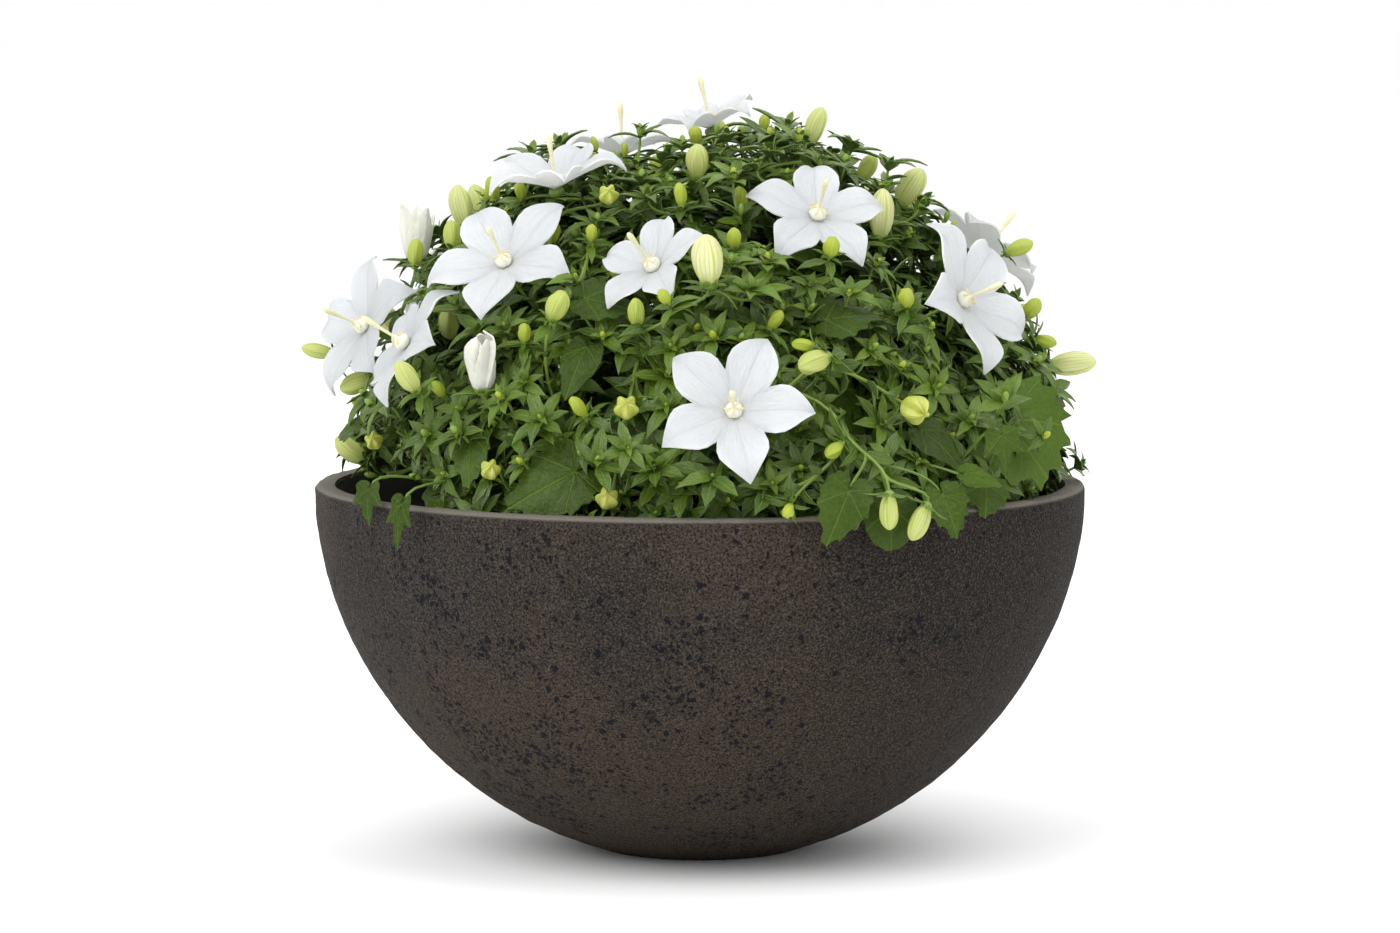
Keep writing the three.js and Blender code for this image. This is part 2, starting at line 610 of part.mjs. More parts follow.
function keep(solid, node) {
  placed.push({ solid, node, box: solid.boundingBox() });
}

function at(geometry, place, axis, turn = 0) {
  return toSolid(geometry.applyMatrix4(standing(place, axis, turn)));
}

// The wall's radius at a height, on a curve that is inset from the outside.
function wallRadius(z, inset, floor) {
  const drop = (BOWL_WIDEST - z) / (BOWL_DEPTH - floor);
  return (BOWL_RADIUS - inset) * Math.sqrt(Math.max(0, 1 - Math.pow(Math.max(0, drop), BOWL_BEND)));
}

const OUTER_HEIGHTS = [0, 4, 10, 18, 30, 45, 62, 81, BOWL_WIDEST];
const INNER_HEIGHTS = [SOIL_TOP, 66, 36, 14];

function bowlSolid() {
  const rim = BOWL_HEIGHT - RIM_ROUND;
  const profile = [[0, 0]];
  OUTER_HEIGHTS.forEach((z) => profile.push([wallRadius(z, 0, 0), z]));
  profile.push([BOWL_RADIUS, rim]);
  profile.push([BOWL_RADIUS - 0.3 * RIM_ROUND, rim + 0.7 * RIM_ROUND]);
  profile.push([BOWL_RADIUS - RIM_ROUND, BOWL_HEIGHT]);
  profile.push([BOWL_RADIUS - BOWL_WALL, BOWL_HEIGHT]);
  INNER_HEIGHTS.forEach((z) => profile.push([wallRadius(z, BOWL_WALL, BOWL_FLOOR), z]));
  profile.push([0, BOWL_FLOOR]);
  return toSolid(turned(profile, BOWL_SIDES));
}

// The soil fills the bowl and has a plain hole for each stem.
function soilSolid(stems) {
  const profile = [[0, BOWL_FLOOR + GAP]];
  [...INNER_HEIGHTS].reverse().forEach((z) => {
    profile.push([wallRadius(z, BOWL_WALL, BOWL_FLOOR) * Math.cos(Math.PI / BOWL_SIDES) - GAP, z]);
  });
  profile.push([STEM_SPREAD + 14, SOIL_TOP + SOIL_CROWN * 0.8], [0, SOIL_TOP + SOIL_CROWN]);
  const holes = stems.map((stem) => {
    const bore = tube(stem.curve, STEM_RADIUS + HOLE_SLACK, STEM_SIDES, STEM_STEPS);
    return toSolid(bore.translate(0, 0, -GAP));
  });
  return toSolid(turned(profile, SOIL_SIDES)).subtract(wasm.Manifold.union(holes));
}

// The corolla and the pistil of each open flower, and the bells, come first: the leaves make way for them.
function placeFlowers(heads, pieces) {
  heads.forEach((h) => {
    if (h.kind !== "flower" && h.kind !== "bell") return;
    const id = String(h.name).padStart(2, "0");
    const corolla =
      h.kind === "flower"
        ? at(corollaGeometry(h), h.middle, h.axis, h.turn)
        : at(bellGeometry(h.long, h.wide), h.foot.clone().addScaledVector(h.axis, BELL_LIFT), h.axis);
    keep(corolla, `corolla_${id}`);
    pieces.push({ name: `corolla_${id}`, solid: corolla, material: "petal" });
    if (h.kind === "bell") return;
    const lift = PETAL_THICK / 2 + PISTIL_LIFT;
    const pistil = at(pistilGeometry(), h.middle.clone().addScaledVector(h.axis, lift), h.axis);
    keep(pistil, `pistil_${id}`);
    pieces.push({ name: `pistil_${id}`, solid: pistil, material: "pistil" });
  });
}

// The rings of a head without its corolla, in its own frame: its sepals or leaves, and what stands in them.
function headRings(h) {
  if (h.kind === "rosette") return [rosetteRing(h.spread, 0.28), [vec(0, 0, 1.4)]];
  if (h.kind === "bud") return [sepalRing(3.4 + 0.36 * h.long, 0.12), ...budRings(h.long, h.wide)];
  return [sepalRing(FLOWER_SEPALS, -0.1), [vec(0, 0, 1)]];
}

// How many straight lengths a stalk along a curve has.
function stalkSteps(curve) {
  return curve.v0.distanceTo(curve.v3) > STALK_LONG ? 3 : 2;
}

// A stalk along a curve with its head in one skin. The stalk's three corners turn as little as they can.
function headSolid(h, curve) {
  const frame = standing(h.foot, h.axis, h.turn ?? 0);
  const rings = headRings(h).map((ring) => ring.map((p) => p.clone().applyMatrix4(frame)));
  const corner = vec(STALK_RADIUS, 0, 0).transformDirection(frame).multiplyScalar(STALK_RADIUS);
  const steps = stalkSteps(curve);
  let along = h.axis.clone();
  for (let i = 0; i <= steps; i++) {
    const tangent = curve.getTangent(1 - i / steps);
    corner.applyQuaternion(new THREE.Quaternion().setFromUnitVectors(along, tangent));
    along = tangent;
    const middle = curve.getPoint(1 - i / steps);
    if (i === 0) middle.addScaledVector(tangent, -STALK_NECK);
    const turns = [0, 120, 240];
    rings.unshift(turns.map((t) => corner.clone().applyAxisAngle(tangent, rad(t)).add(middle)));
  }
  return toSolid(skin(rings));
}

// A stem with a new solid joined on, if that gives one body with no hollow in it and adds few triangles: many
// would mean that it crosses the stem's other stalks and leaves, and not only what carries it.
function joined(stem, solid) {
  const whole = stem.body.add(solid);
  const added = whole.numTri() - stem.body.numTri() - solid.numTri();
  return added <= JOIN_TRIANGLES && whole.decompose().length === 1 ? whole : null;
}

function addTo(stem, solid, whole) {
  stem.body = whole;
  keep(solid, stem.name);
}

// The first start from which what makeSolid builds is clear of the other pieces, and meets its own stem once.
function findStalk(stem, foot, arrival, makeSolid) {
  for (const start of stalkStarts(stem, foot).slice(0, STALK_TRIES)) {
    const curve = stalkCurve(start, foot, arrival);
    const solid = makeSolid(curve);
    const whole = touching(solid, stem.name).length ? null : joined(stem, solid);
    if (whole) return { curve, solid, whole };
  }
  return null;
}

function addStalk(stem, { curve, solid, whole }) {
  stem.branches.push(curve.getPoints(stalkSteps(curve)));
  addTo(stem, solid, whole);
}

// A head goes on the first of its nearest stems that a stalk can reach it from. One with no room stays off.
function placeHead(stems, h) {
  const frame = standing(h.foot, h.axis, h.turn ?? 0);
  const alone = toSolid(skin([[vec(0, 0, -STALK_NECK)], ...headRings(h)]).applyMatrix4(frame));
  for (const stem of nearStems(stems, h.foot)) {
    const blocked = touching(alone, stem.name).length > 0;
    const found = blocked ? null : findStalk(stem, h.foot, h.axis, (curve) => headSolid(h, curve));
    if (found) {
      addStalk(stem, found);
      h.stem = stem;
      h.curve = found.curve;
      return;
    }
  }
}

// A small leaf on the stalk of a head, turned to where it finds room.
function placeSmallLeaf({ stem, curve, order }) {
  const { place: foot, tangent: along } = alongBranch(curve.getPoints(stalkSteps(curve)), 0.55);
  const out = along.clone().cross(vec(0, 0, 1)).normalize();
  for (let i = 0; i < 3; i++) {
    const side = out.clone().applyAxisAngle(along, rad(GOLDEN * (i + order) + 40));
    const way = along.clone().multiplyScalar(0.5).addScaledVector(side, 0.85).normalize();
    const long = SMALL_LEAF * (1 + 0.3 * drawn(order, 7));
    const leaf = leafGeometry({ long, wide: long * 0.46, teeth: 1, arch: 0.1 });
    const solid = toSolid(leaf.applyMatrix4(leafFrame(foot, way, along)));
    const whole = touching(solid, stem.name).length ? null : joined(stem, solid);
    if (whole) {
      addTo(stem, solid, whole);
      return;
    }
  }
}

// The frame that lays a leaf's +Y along a way, with its upper side turned to face as given.
function leafFrame(foot, way, face) {
  const side = way.clone().cross(face).normalize();
  const up = side.clone().cross(way);
  return new THREE.Matrix4().makeBasis(side, way, up).setPosition(foot);
}

// A broad leaf on its own long stalk, where it finds room.
function placeBroadLeaf(stems, leaf) {
  const teeth = leaf.long > 20 ? 4 : 3;
  const shape = leafGeometry({ long: leaf.long, wide: leaf.wide, teeth, arch: 0.12 });
  const blade = toSolid(shape.applyMatrix4(leafFrame(leaf.foot, leaf.way, leaf.face)));
  const end = leaf.foot.clone().addScaledVector(leaf.way, 1.6);
  const withStalk = (curve) => toSolid(tube(curve, STALK_RADIUS, 3, stalkSteps(curve))).add(blade);
  for (const stem of nearStems(stems, leaf.foot)) {
    const found = touching(blade, stem.name).length ? null : findStalk(stem, end, leaf.way, withStalk);
    if (found) {
      addStalk(stem, found);
      return;
    }
  }
}

function listBroadLeaves() {
  const leaves = BROAD_LEAVES.map((l) => {
    return { ...l, middle: fromPicture(l.at, l.level), face: direction(...l.faces) };
  });
  leaves.forEach((l) => {
    const tip = leaning(l.tip, 0);
    l.way = tip.addScaledVector(l.face, -tip.dot(l.face)).normalize();
  });
  for (let i = 0; i < BACK_LEAVES.count; i++) {
    const share = (i + 0.5) / BACK_LEAVES.count;
    const azimuth = BACK_LEAVES.from + (BACK_LEAVES.to - BACK_LEAVES.from) * share;
    const height = BACK_LEAVES.height + 12 * (i % 2);
    const long = BACK_LEAVES.long * (0.75 + 0.3 * drawn(i, 9));
    const wide = (BACK_LEAVES.wide * long) / BACK_LEAVES.long;
    const face = direction(azimuth, 40);
    const way = direction(azimuth + 40 * (drawn(i, 8) - 0.5), -50);
    const middle = onDome(azimuth, height, 0.9);
    leaves.push({ middle, face, way, long, wide });
  }
  leaves.forEach((l) => {
    l.foot = l.middle.clone().addScaledVector(l.way, -l.long / 2);
  });
  return leaves;
}

const MATERIALS = {
  stone: new THREE.MeshStandardMaterial({ color: 0x4a3f38, roughness: 0.85, metalness: 0 }),
  soil: new THREE.MeshStandardMaterial({ color: 0x2e231b, roughness: 0.95, metalness: 0 }),
  leaf: new THREE.MeshStandardMaterial({ color: 0x3f7a2c, roughness: 0.55, metalness: 0 }),
  petal: new THREE.MeshStandardMaterial({ color: 0xf4f5f8, roughness: 0.6, metalness: 0 }),
  pistil: new THREE.MeshStandardMaterial({ color: 0xeae3a8, roughness: 0.6, metalness: 0 }),
};

function makePlant() {
  const stems = listStems();
  const heads = listHeads();
  const bowl = bowlSolid();
  const soil = soilSolid(stems);
  const pieces = [
    { name: "bowl", solid: bowl, material: "stone" },
    { name: "soil", solid: soil, material: "soil" },
  ];
  keep(bowl, "bowl");
  keep(soil, "soil");
  placeFlowers(heads, pieces);
  stems.forEach((stem) => {
    const solid = toSolid(tube(stem.curve, STEM_RADIUS, STEM_SIDES, STEM_STEPS));
    addTo(stem, solid, solid);
  });
  const ofKind = (...kinds) => heads.filter((h) => kinds.includes(h.kind));
  ofKind("flower", "bell").forEach((h) => placeHead(stems, h));
  listBroadLeaves().forEach((leaf) => placeBroadLeaf(stems, leaf));
  ofKind("bud").forEach((h) => placeHead(stems, h));
  ofKind("rosette").forEach((h) => placeHead(stems, h));
  heads.filter((h) => h.curve && h.order % 5 < 2).forEach(placeSmallLeaf);
  stems.forEach(({ name, body }) => pieces.push({ name, solid: body, material: "leaf" }));
  return pieces;
}

const plant = new THREE.Group();
plant.name = "potted_bellflower";
makePlant().forEach(({ name, solid, material }) => {
  const mesh = new THREE.Mesh(toGeometry(solid), MATERIALS[material]);
  mesh.name = name;
  plant.add(mesh);
});

export default plant;
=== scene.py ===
"""A white bellflower in a half-round stone bowl, dressed over its solids.

The plant's layout is worked out in millimetres, in the frame of the solids: +Z up, the origin at the
middle of the bowl's foot, and the side that faces the viewer at -Y. A piece is scaled to metres when it
is finished.
"""
import math

import bpy
import numpy as np
from bpy.props import FloatProperty, FloatVectorProperty, IntProperty, PointerProperty
from mathutils import Matrix, Quaternion, Vector


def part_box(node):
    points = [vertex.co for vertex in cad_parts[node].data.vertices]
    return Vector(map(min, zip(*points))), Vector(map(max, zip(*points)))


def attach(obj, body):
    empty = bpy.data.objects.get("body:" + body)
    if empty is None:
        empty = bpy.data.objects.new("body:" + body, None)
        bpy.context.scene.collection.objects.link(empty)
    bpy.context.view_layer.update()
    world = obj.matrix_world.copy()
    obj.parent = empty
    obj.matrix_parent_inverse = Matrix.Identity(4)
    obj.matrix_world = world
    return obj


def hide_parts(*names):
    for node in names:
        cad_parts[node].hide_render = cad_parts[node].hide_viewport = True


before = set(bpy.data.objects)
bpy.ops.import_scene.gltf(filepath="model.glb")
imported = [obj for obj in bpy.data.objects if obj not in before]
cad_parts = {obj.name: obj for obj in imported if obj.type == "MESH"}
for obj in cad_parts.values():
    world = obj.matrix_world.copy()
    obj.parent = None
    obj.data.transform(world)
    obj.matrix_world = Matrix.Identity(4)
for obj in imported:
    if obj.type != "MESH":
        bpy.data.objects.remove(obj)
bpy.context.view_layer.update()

bl_info = {
    "name": "Potted Bellflower",
    "version": (1, 0, 0),
    "blender": (4, 5, 0),
    "location": "View3D > Sidebar > Bellflower",
    "description": "Models a white bellflower in a stone bowl, piece by piece",
    "category": "Add Mesh",
}

MM = 0.001
BODY = "root"

# The bowl and its soil, in mm: three sizes measured on their solids, and the others as in the part's source
BOWL_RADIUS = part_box("bowl")[1].x / MM
BOWL_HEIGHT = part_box("bowl")[1].z / MM
SOIL_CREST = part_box("soil")[1].z / MM
BOWL_WALL = 5.6
INNER_RADIUS = BOWL_RADIUS - BOWL_WALL
BOWL_FLOOR = 6
BOWL_WIDEST = 102  # height at which the wall stands upright
BOWL_DEPTH = 105.7  # half-height of the curve that the wall follows
BOWL_BEND = 1.85  # exponent of that curve
RIM_ROUND = 1.8
BOWL_CURVE_POINTS = 58
RIM_POINTS = 6
INSIDE_HEIGHTS = (104, 101, 98, 95, 92, 91, 78, 66, 50, 36, 24, 14, 9)
SOIL_TOP = 91  # at the wall, where the soil is lowest
SOIL_GAP = 0.35
SOIL_HEIGHTS = (BOWL_FLOOR + 1, 14, 24, 36, 50, 66, 78, 86)
SOIL_RINGS = 30
SOIL_SIDES = 96

# Relief in mm: the size of its grains or lumps, and its depth, which for the stone is a share of the setting
STONE_RELIEF = ((1.6, 0.5), (7, 1.0))
SOIL_RELIEF = ((9, 2.2), (2.6, 1.3))

# The view of the picture, which places what it shows
PIXEL = 0.2865  # mm on the bowl's axis
PICTURE_MIDDLE = (699.7, 466.5)
PICTURE_WIDTH = 1400
AIM_HEIGHT = 109.3
VIEW_DISTANCE = 1500
VIEW_TILT = 5.25  # degrees that the view looks down
SENSOR = 36
VIEW_LIMITS = (0.05, 100)  # metres

# The stage. The floor is so wide, in metres, that its edge is above the picture.
FLOOR_RADIUS = 250
FLOOR_SHADE = 0.985  # the darker parts of the floor, as a share of its colour
WORLD_LIGHT = 0.82
EXPOSURE = 0.35
LAMPS = [
    {"name": "key", "place": (-1.0, -1.2, 1.5), "size": 1.5, "watts": 19},
    {"name": "fill", "place": (0.9, -0.8, 1.8), "size": 1.2, "watts": 9},
    {"name": "back", "place": (0.4, 1.4, 1.3), "size": 1.2, "watts": 4},
]
LAMPS_AIM = Vector((0, 0, 0.12))

# The dome that the flowers make, and the point that the stems fan out from
DOME_HEIGHT_AT = 98
DOME_RADIUS = 104
DOME_RISE = 110
CROWN = Vector((0, 0, 78))

# Stems and stalks
STEMS = 15
STEM_RADIUS = 1.2
STEM_SIDES = 7
STEM_TAPER = 0.8  # a stem's radius at its end, as a share of that at its root
STEM_SPREAD = 32
STEM_REACH = 0.62  # how far a stem goes from the crown to the dome
STEM_RISE = 12  # a stem ends this far over the soil or higher
HOLE_DEPTH = 11
STALK_RADIUS = 0.45
BLADE_STALK_RADIUS = 0.4
STALK_SIDES = 5
STALK_SHORTEST = 11  # a shorter stalk is avoided, and bears no others
STEM_FORKS = (0.34, 0.5, 0.66, 0.82, 0.97)  # where stalks can leave a stem, as shares of its length
STALK_FORKS = (0.4, 0.6, 0.8)  # where stalks can leave another stalk
GOLDEN = 137.508  # degrees from one leaf of a spiral to the next
SEED = 11
TINY = 1e-4

# The materials of a leafy stem, in their order
LEAF, STALK, BUD, BROAD = range(4)

# Open flowers. Sizes are in mm.
PETALS = 5
PETAL_TURN = 360 / PETALS
OPEN_FLOWERS = 19
FLOWERS_IN_VIEW = (1, 2, 3, 4, 5, 6, 7, 8, 9, 10, 12)
PAINTED_SHADE_FLOWERS = (6, 7, 12)  # flowers with painted shade, whose petals are a little greyer
PISTIL_LIFT = 1.35  # from the throat up to the pistil's foot
CALYX_BELOW = 2  # from the throat down to the calyx
PETAL_LIFT = 0.85  # how high petals stand over the throat, as a share of their cup and distance out
PETAL_THICKNESS = 0.5
PETAL_WELD = 0.02
PETAL_TILT = 0.1  # how much the slopes of one flower's petals differ
PETAL_ROLL = 0.22  # how much their sideways slopes differ
PETAL_CURL = (0.1, 0.16)  # how far the tips curl back, and how much more some do
PETAL_CREASE = 0.016  # its depth, as a share of the reach
PETAL_WAVE = 0.018  # its height, as a share of the reach
BELL_THICKNESS = 0.45
BELL_SEAT = 1.2  # from a bell's calyx up to its petals

# Room round the heads, which are the flowers, bells, buds and rosettes that stalks end in, in mm
FLOWER_CLEAR = 0.8  # how far the next foot stays from a flower's throat, as a share of its reach
BELL_CLEAR = 9
BUD_CLEAR = 7.5
CLEAR_MORE = (5.5, 1.5, 0)  # added to these for the rosettes of each layer
PETAL_MARGIN = 1.1  # how far out the space over a flower goes, as a share of its reach
ABOVE_PETALS = 26  # how high over a flower's petals there is no bud or rosette
ROSETTE_OFF_WALL = 4.5
LEAF_OUT = BOWL_RADIUS + 4  # no narrow leaf goes further out or up than these
LEAF_TOP = BOWL_HEIGHT + 113

# Flowers that are about to open. The first is a pleated bell, and the second still folded.
BELLS = [
    {"base": (416, 264), "tip": 0, "towards": 5, "long": 16, "wide": 10.5, "level": 0.93, "folded": 0},
    {"base": (483, 394), "tip": -3, "towards": 14, "long": 16, "wide": 9.4, "level": 0.97, "folded": 1},
]

# Buds: the middle in the picture, the clock angle of the point, its lean towards the viewer, length and
# width, and for some the level of the dome, and how much deeper than that the bud stands
BUDS = [
    (1071, 364, 84, 0, 14.4, 7),
    (461, 207, -12, 0, 13, 6.6),
    (452, 236, -6, 0, 9, 5.4, 0.99),
    (415, 253, 4, 20, 8.6, 4.6, 1.03),
    (319, 351, -80, 0, 10.5, 4.4, 0.97, 16),
    (449, 322, 176, 10, 10, 6, 0.86),
    (492, 189, -10, 10, 7.4, 4.2),
    (520, 191, -8, 30, 6, 3.4),
    (553, 234, 10, 0, 6.6, 3.8, 0.88),
    (591, 233, 5, 30, 5.4, 3.2),
    (608, 195, 15, 65, 5.4, 5),
    (697, 162, 0, 30, 11, 6.4),
    (695, 135, -8, 30, 5.6, 3.8, 0.97, -12),
    (680, 195, -8, 10, 7, 3.6),
    (557, 306, 24, 25, 9.6, 6.2, 1.02),
    (524, 333, 0, 35, 6.2, 3.6),
    (636, 313, -4, 20, 8.6, 4.6),
    (664, 297, -32, 25, 5.2, 3.2, 1.09),
    (707, 261, -4, 20, 15, 8.4, 1.11),
    (407, 377, -34, 30, 11, 5.6, 1.13),
    (438, 389, -38, 30, 5.8, 3.4),
    (356, 383, -112, 0, 10, 6, 0.88),
    (374, 441, -20, 70, 6, 4.6),
    (351, 450, -52, 0, 11.4, 6.4),
    (490, 470, 20, 62, 5.6, 5),
    (626, 408, 0, 68, 6, 6),
    (578, 407, -38, 32, 7.6, 3.6),
    (607, 499, 0, 62, 5.6, 5.6),
    (815, 127, 20, 0, 12, 5.8),
    (764, 123, 12, 10, 5.4, 3.2),
    (867, 168, 32, 5, 8.8, 5),
    (910, 188, 32, 5, 13, 7.4, 1.0),
    (881, 215, 4, 10, 15, 7),
    (740, 199, -6, 20, 7.4, 4.2, 0.9),
    (831, 247, 12, 35, 6.6, 4.6, 1.05),
    (734, 238, -4, 20, 6, 4),
    (1019, 248, 66, 10, 8.6, 4.6),
    (1031, 309, 40, 0, 7.4, 4.8, 0.97, 4),
    (1045, 341, 106, 10, 6.8, 3.6, 0.97, -9),
    (775, 320, 36, 25, 6.6, 3.6),
    (906, 298, -12, 50, 6.6, 4.6, 1.04),
    (814, 362, -112, 30, 10.4, 6.2, 1.05),
    (803, 345, -84, 0, 6.4, 3.4, 1.03),
    (914, 409, 120, 45, 8.4, 7, 1.05),
    (1040, 403, 84, 20, 8, 4.4, 0.97, 6),
    (834, 450, -130, 30, 6.6, 4, 1.06),
    (889, 511, 180, 4, 10.2, 5.2, 1.19),
    (919, 522, -156, 4, 10.8, 5.4, 1.19),
    (788, 511, 200, 50, 5, 3.4, 1.09),
]

BUD_LEVEL = 0.97  # the level of those that name none

# Buds on the far side, in rings of the dome: height, how many, from and to which azimuth, length, width
BACK_BUDS = [
    (6, 9, 92, 264, 10, 5.2),
    (15, 8, 84, 280, 7, 3.8),
    (27, 9, 88, 268, 11, 5.6),
    (39, 8, 100, 262, 7, 3.8),
    (50, 7, 96, 270, 12, 6),
    (62, 6, 104, 262, 8, 4.4),
    (74, 4, 120, 250, 9, 5),
]
BACK_BUD_LEVEL = 0.95
BACK_BUD_RISE = 24  # degrees that they look up more than the dome does

# Broad leaves: their kind, the middle in the picture, the clock angle of the point, the azimuth and
# height that the upper side looks to, length, width and level, and the tone from dark to light, which holds
# both the leaf's own colour and painted shade
BROAD_LEAVES = [
    ("oval", 938, 446, 138, (26, 44), 20, 15, 1.01, 0.02),
    ("oval", 979, 478, 98, (16, 24), 14, 8, 1.1, 0.75),
    ("lobed", 1003, 452, 172, (20, 14), 14, 12, 1.13, 0.25),
    ("heart", 549, 486, -118, (-8, 28), 25, 23, 0.93, 0.3),
    ("heart", 606, 304, 112, (-4, 48), 19, 15, 0.94, 0.0),
    ("oval", 578, 366, -166, (-4, 46), 20, 14, 0.94, 0.05),
    ("heart", 846, 318, 66, (8, 48), 19, 16, 0.95, 0.25),
    ("disc", 1026, 448, 150, (22, 26), 31, 33, 1.03, 0.95),
    ("heart", 840, 512, -158, (4, 14), 19, 15, 1.13, 0.3),
    ("smooth", 890, 530, 178, (18, 10), 19.5, 16, 1.13, 0.1),
    ("heart", 948, 511, 165, (20, 26), 15, 14, 1.12, 0.3),
    ("heart", 986, 497, 190, (22, 30), 12, 14, 1.06, 0.35),
    ("lobed", 368, 503, 184, (-40, 10), 12, 11, 1.09, 0.25),
    ("lobed", 399, 522, 190, (-26, 10), 15, 7.5, 1.13, 0.2),
    ("heart", 470, 456, 172, (-30, 30), 18, 13, 0.97, 0.4),
    ("oval", 712, 495, 184, (0, 28), 17, 11, 0.95, 0.4),
    ("heart", 768, 492, 150, (8, 34), 20, 15, 0.9, 0.3),
    ("heart", 350, 430, -70, (-60, 40), 12, 10, 1.0, 0.1),
    ("heart", 448, 492, -150, (-24, 30), 22, 18, 0.9, 0.25),
    ("heart", 660, 470, 140, (0, 44), 24, 18, 0.9, 0.3),
    ("oval", 806, 440, 60, (8, 40), 20, 14, 0.9, 0.25),
    ("oval", 640, 430, -150, (-2, 40), 20, 13, 0.88, 0.1),
    ("heart", 1048, 392, 40, (50, 40), 17, 14, 0.96, 0.3),
]
LEAVES_IN_VIEW = 7  # broad leaves that no narrow leaf hides, the first of their list
SHOWN_LEAF = [(-0.24, -0.4), (0.24, -0.4), (0.42, -0.1), (0.3, 0.2), (0, 0.42), (-0.3, 0.2), (-0.42, -0.1)]
BACK_LEAVES = {"count": 8, "from": 106, "to": 268, "height": 10, "long": 25, "wide": 20, "level": 0.9}
INNER_LEAVES = 190  # broad leaves in the shade under the dome
BLADE_TONE = 0.35  # the tone of a broad leaf that the picture doesn't show

# Large rosettes: the middle in the picture, the clock angle and lean of the axis, size and level
LARGE_ROSETTES = [
    (712, 478, 0, 62, 1.5, 1.02),
    (1003, 402, 14, 55, 1.45, 1.1),
    (1042, 438, 50, 55, 1.0, 1.1),
    (887, 462, 0, 50, 1.1, 1.08),
    (597, 465, 8, 55, 1.3, 1.0),
    (655, 470, -20, 50, 1.35, 0.99),
    (770, 488, 20, 55, 1.35, 1.0),
    (930, 330, 20, 50, 1.3, 1.02),
    (576, 280, -10, 60, 1.1, 0.98),
]

# Rosettes of leaves, in layers of the dome: tries, distance apart, lowest level and its spread
ROSETTE_LAYERS = [
    (150, 18, 0.84, 0.1),
    (2600, 7.2, 0.87, 0.13),
    (700, 11, 0.74, 0.1),
]
UNDER_LAYER = 2  # the layer in the shade, whose leaves are larger
CLUMPS = 0.028  # how far clumps of rosettes stand out of the dome, as a share of its size
HOLLOW_BELOW = -0.6  # the unevenness below which the middle layer has no rosette
ROSETTE_LEAN = 44  # degrees over which the axes of rosettes swing sideways
ROSETTE_UP = 30  # the most degrees that they point up more than the dome does
ROSETTE_RISE = 22  # degrees between the ring of a rosette and its leaves
HEART_RISE = 52  # the same for the small leaves round its heart

# Parts of the picture, as corners, in which the bowl's inner wall shows between the leaves
OPENINGS = [
    [(338, 482), (352, 474), (432, 482), (424, 512), (380, 513), (345, 503)],
]
OPENING_DEPTH = VIEW_DISTANCE + 60  # no leaf nearer than this hides them


# Places and directions


def drawn(n, k):
    """A repeatable draw from 0 to 1 for piece n and purpose k."""
    wave = math.sin(n * 12.9898 + k * 78.233 + SEED) * 43758.5453
    return wave - math.floor(wave)


def varied(n, k, least, more):
    """A draw from least to as much as more above it."""
    return least + more * drawn(n, k)


def swung(n, k, span):
    """A draw to either side of 0, over a span."""
    return span * (drawn(n, k) - 0.5)


def drawn_each(numbers, k):
    """The draws of many pieces for one purpose."""
    return np.array([drawn(n, k) for n in numbers])


def clamped(value):
    """A value kept between 0 and 1."""
    return min(1, max(0, value))


def direction(azimuth, height):
    """A direction from its azimuth, 0 towards the viewer and 90 to the right, and its height."""
    a, h = math.radians(azimuth), math.radians(height)
    return Vector((math.sin(a) * math.cos(h), -math.cos(a) * math.cos(h), math.sin(h)))


SIGHT = Vector((0, math.cos(math.radians(VIEW_TILT)), -math.sin(math.radians(VIEW_TILT))))
SIGHT_UP = Vector((0, math.sin(math.radians(VIEW_TILT)), math.cos(math.radians(VIEW_TILT))))
EYE = Vector((0, 0, AIM_HEIGHT)) - SIGHT * VIEW_DISTANCE


def from_picture(x, y, level, deeper=0):
    """The point of the dome, scaled by level, that shows at a pixel of the picture."""
    focal = VIEW_DISTANCE / PIXEL
    ray = (
        SIGHT
        + Vector((1, 0, 0)) * ((x - PICTURE_MIDDLE[0]) / focal)
        + SIGHT_UP * ((PICTURE_MIDDLE[1] - y) / focal)
    )
    size = [DOME_RADIUS * level, DOME_RADIUS * level, DOME_RISE * level]
    start = [(EYE[i] - (DOME_HEIGHT_AT if i == 2 else 0)) / size[i] for i in range(3)]
    along = [ray[i] / size[i] for i in range(3)]
    a = sum(v * v for v in along)
    b = sum(u * v for u, v in zip(start, along))
    c = sum(v * v for v in start) - 1
    return EYE + ray * ((-b - math.sqrt(max(0, b * b - a * c))) / a + deeper)


def leaning(clock, towards):
    """A direction that points at a clock angle of the picture and leans towards the viewer."""
    c, t = math.radians(clock), math.radians(towards)
    flat = Vector((math.sin(c), 0, 0)) + SIGHT_UP * math.cos(c)
    return (flat * math.cos(t) - SIGHT * math.sin(t)).normalized()


def in_picture(points):
    """Where points show in the picture, and how far they are from the viewer along the sight."""
    away = points - np.array(EYE)
    depth = away @ np.array(SIGHT)
    x = PICTURE_MIDDLE[0] + away[..., 0] / depth * VIEW_DISTANCE / PIXEL
    y = PICTURE_MIDDLE[1] - away @ np.array(SIGHT_UP) / depth * VIEW_DISTANCE / PIXEL
    return x, y, depth


def in_triangle(x, y, corners):
    """Which places of the picture lie in a triangle."""
    signs = []
    for (ax, ay), (bx, by) in zip(corners, corners[1:] + corners[:1]):
        signs.append((bx - ax) * (y - ay) - (by - ay) * (x - ax) > 0)
    return (signs[0] == signs[1]) & (signs[1] == signs[2])


def on_dome(azimuth, height, level):
    """The point of the dome, scaled by level, in a direction from its middle."""
    d = direction(azimuth, height)
    at = Vector((d.x * DOME_RADIUS, d.y * DOME_RADIUS, d.z * DOME_RISE)) * level
    return at + Vector((0, 0, DOME_HEIGHT_AT))


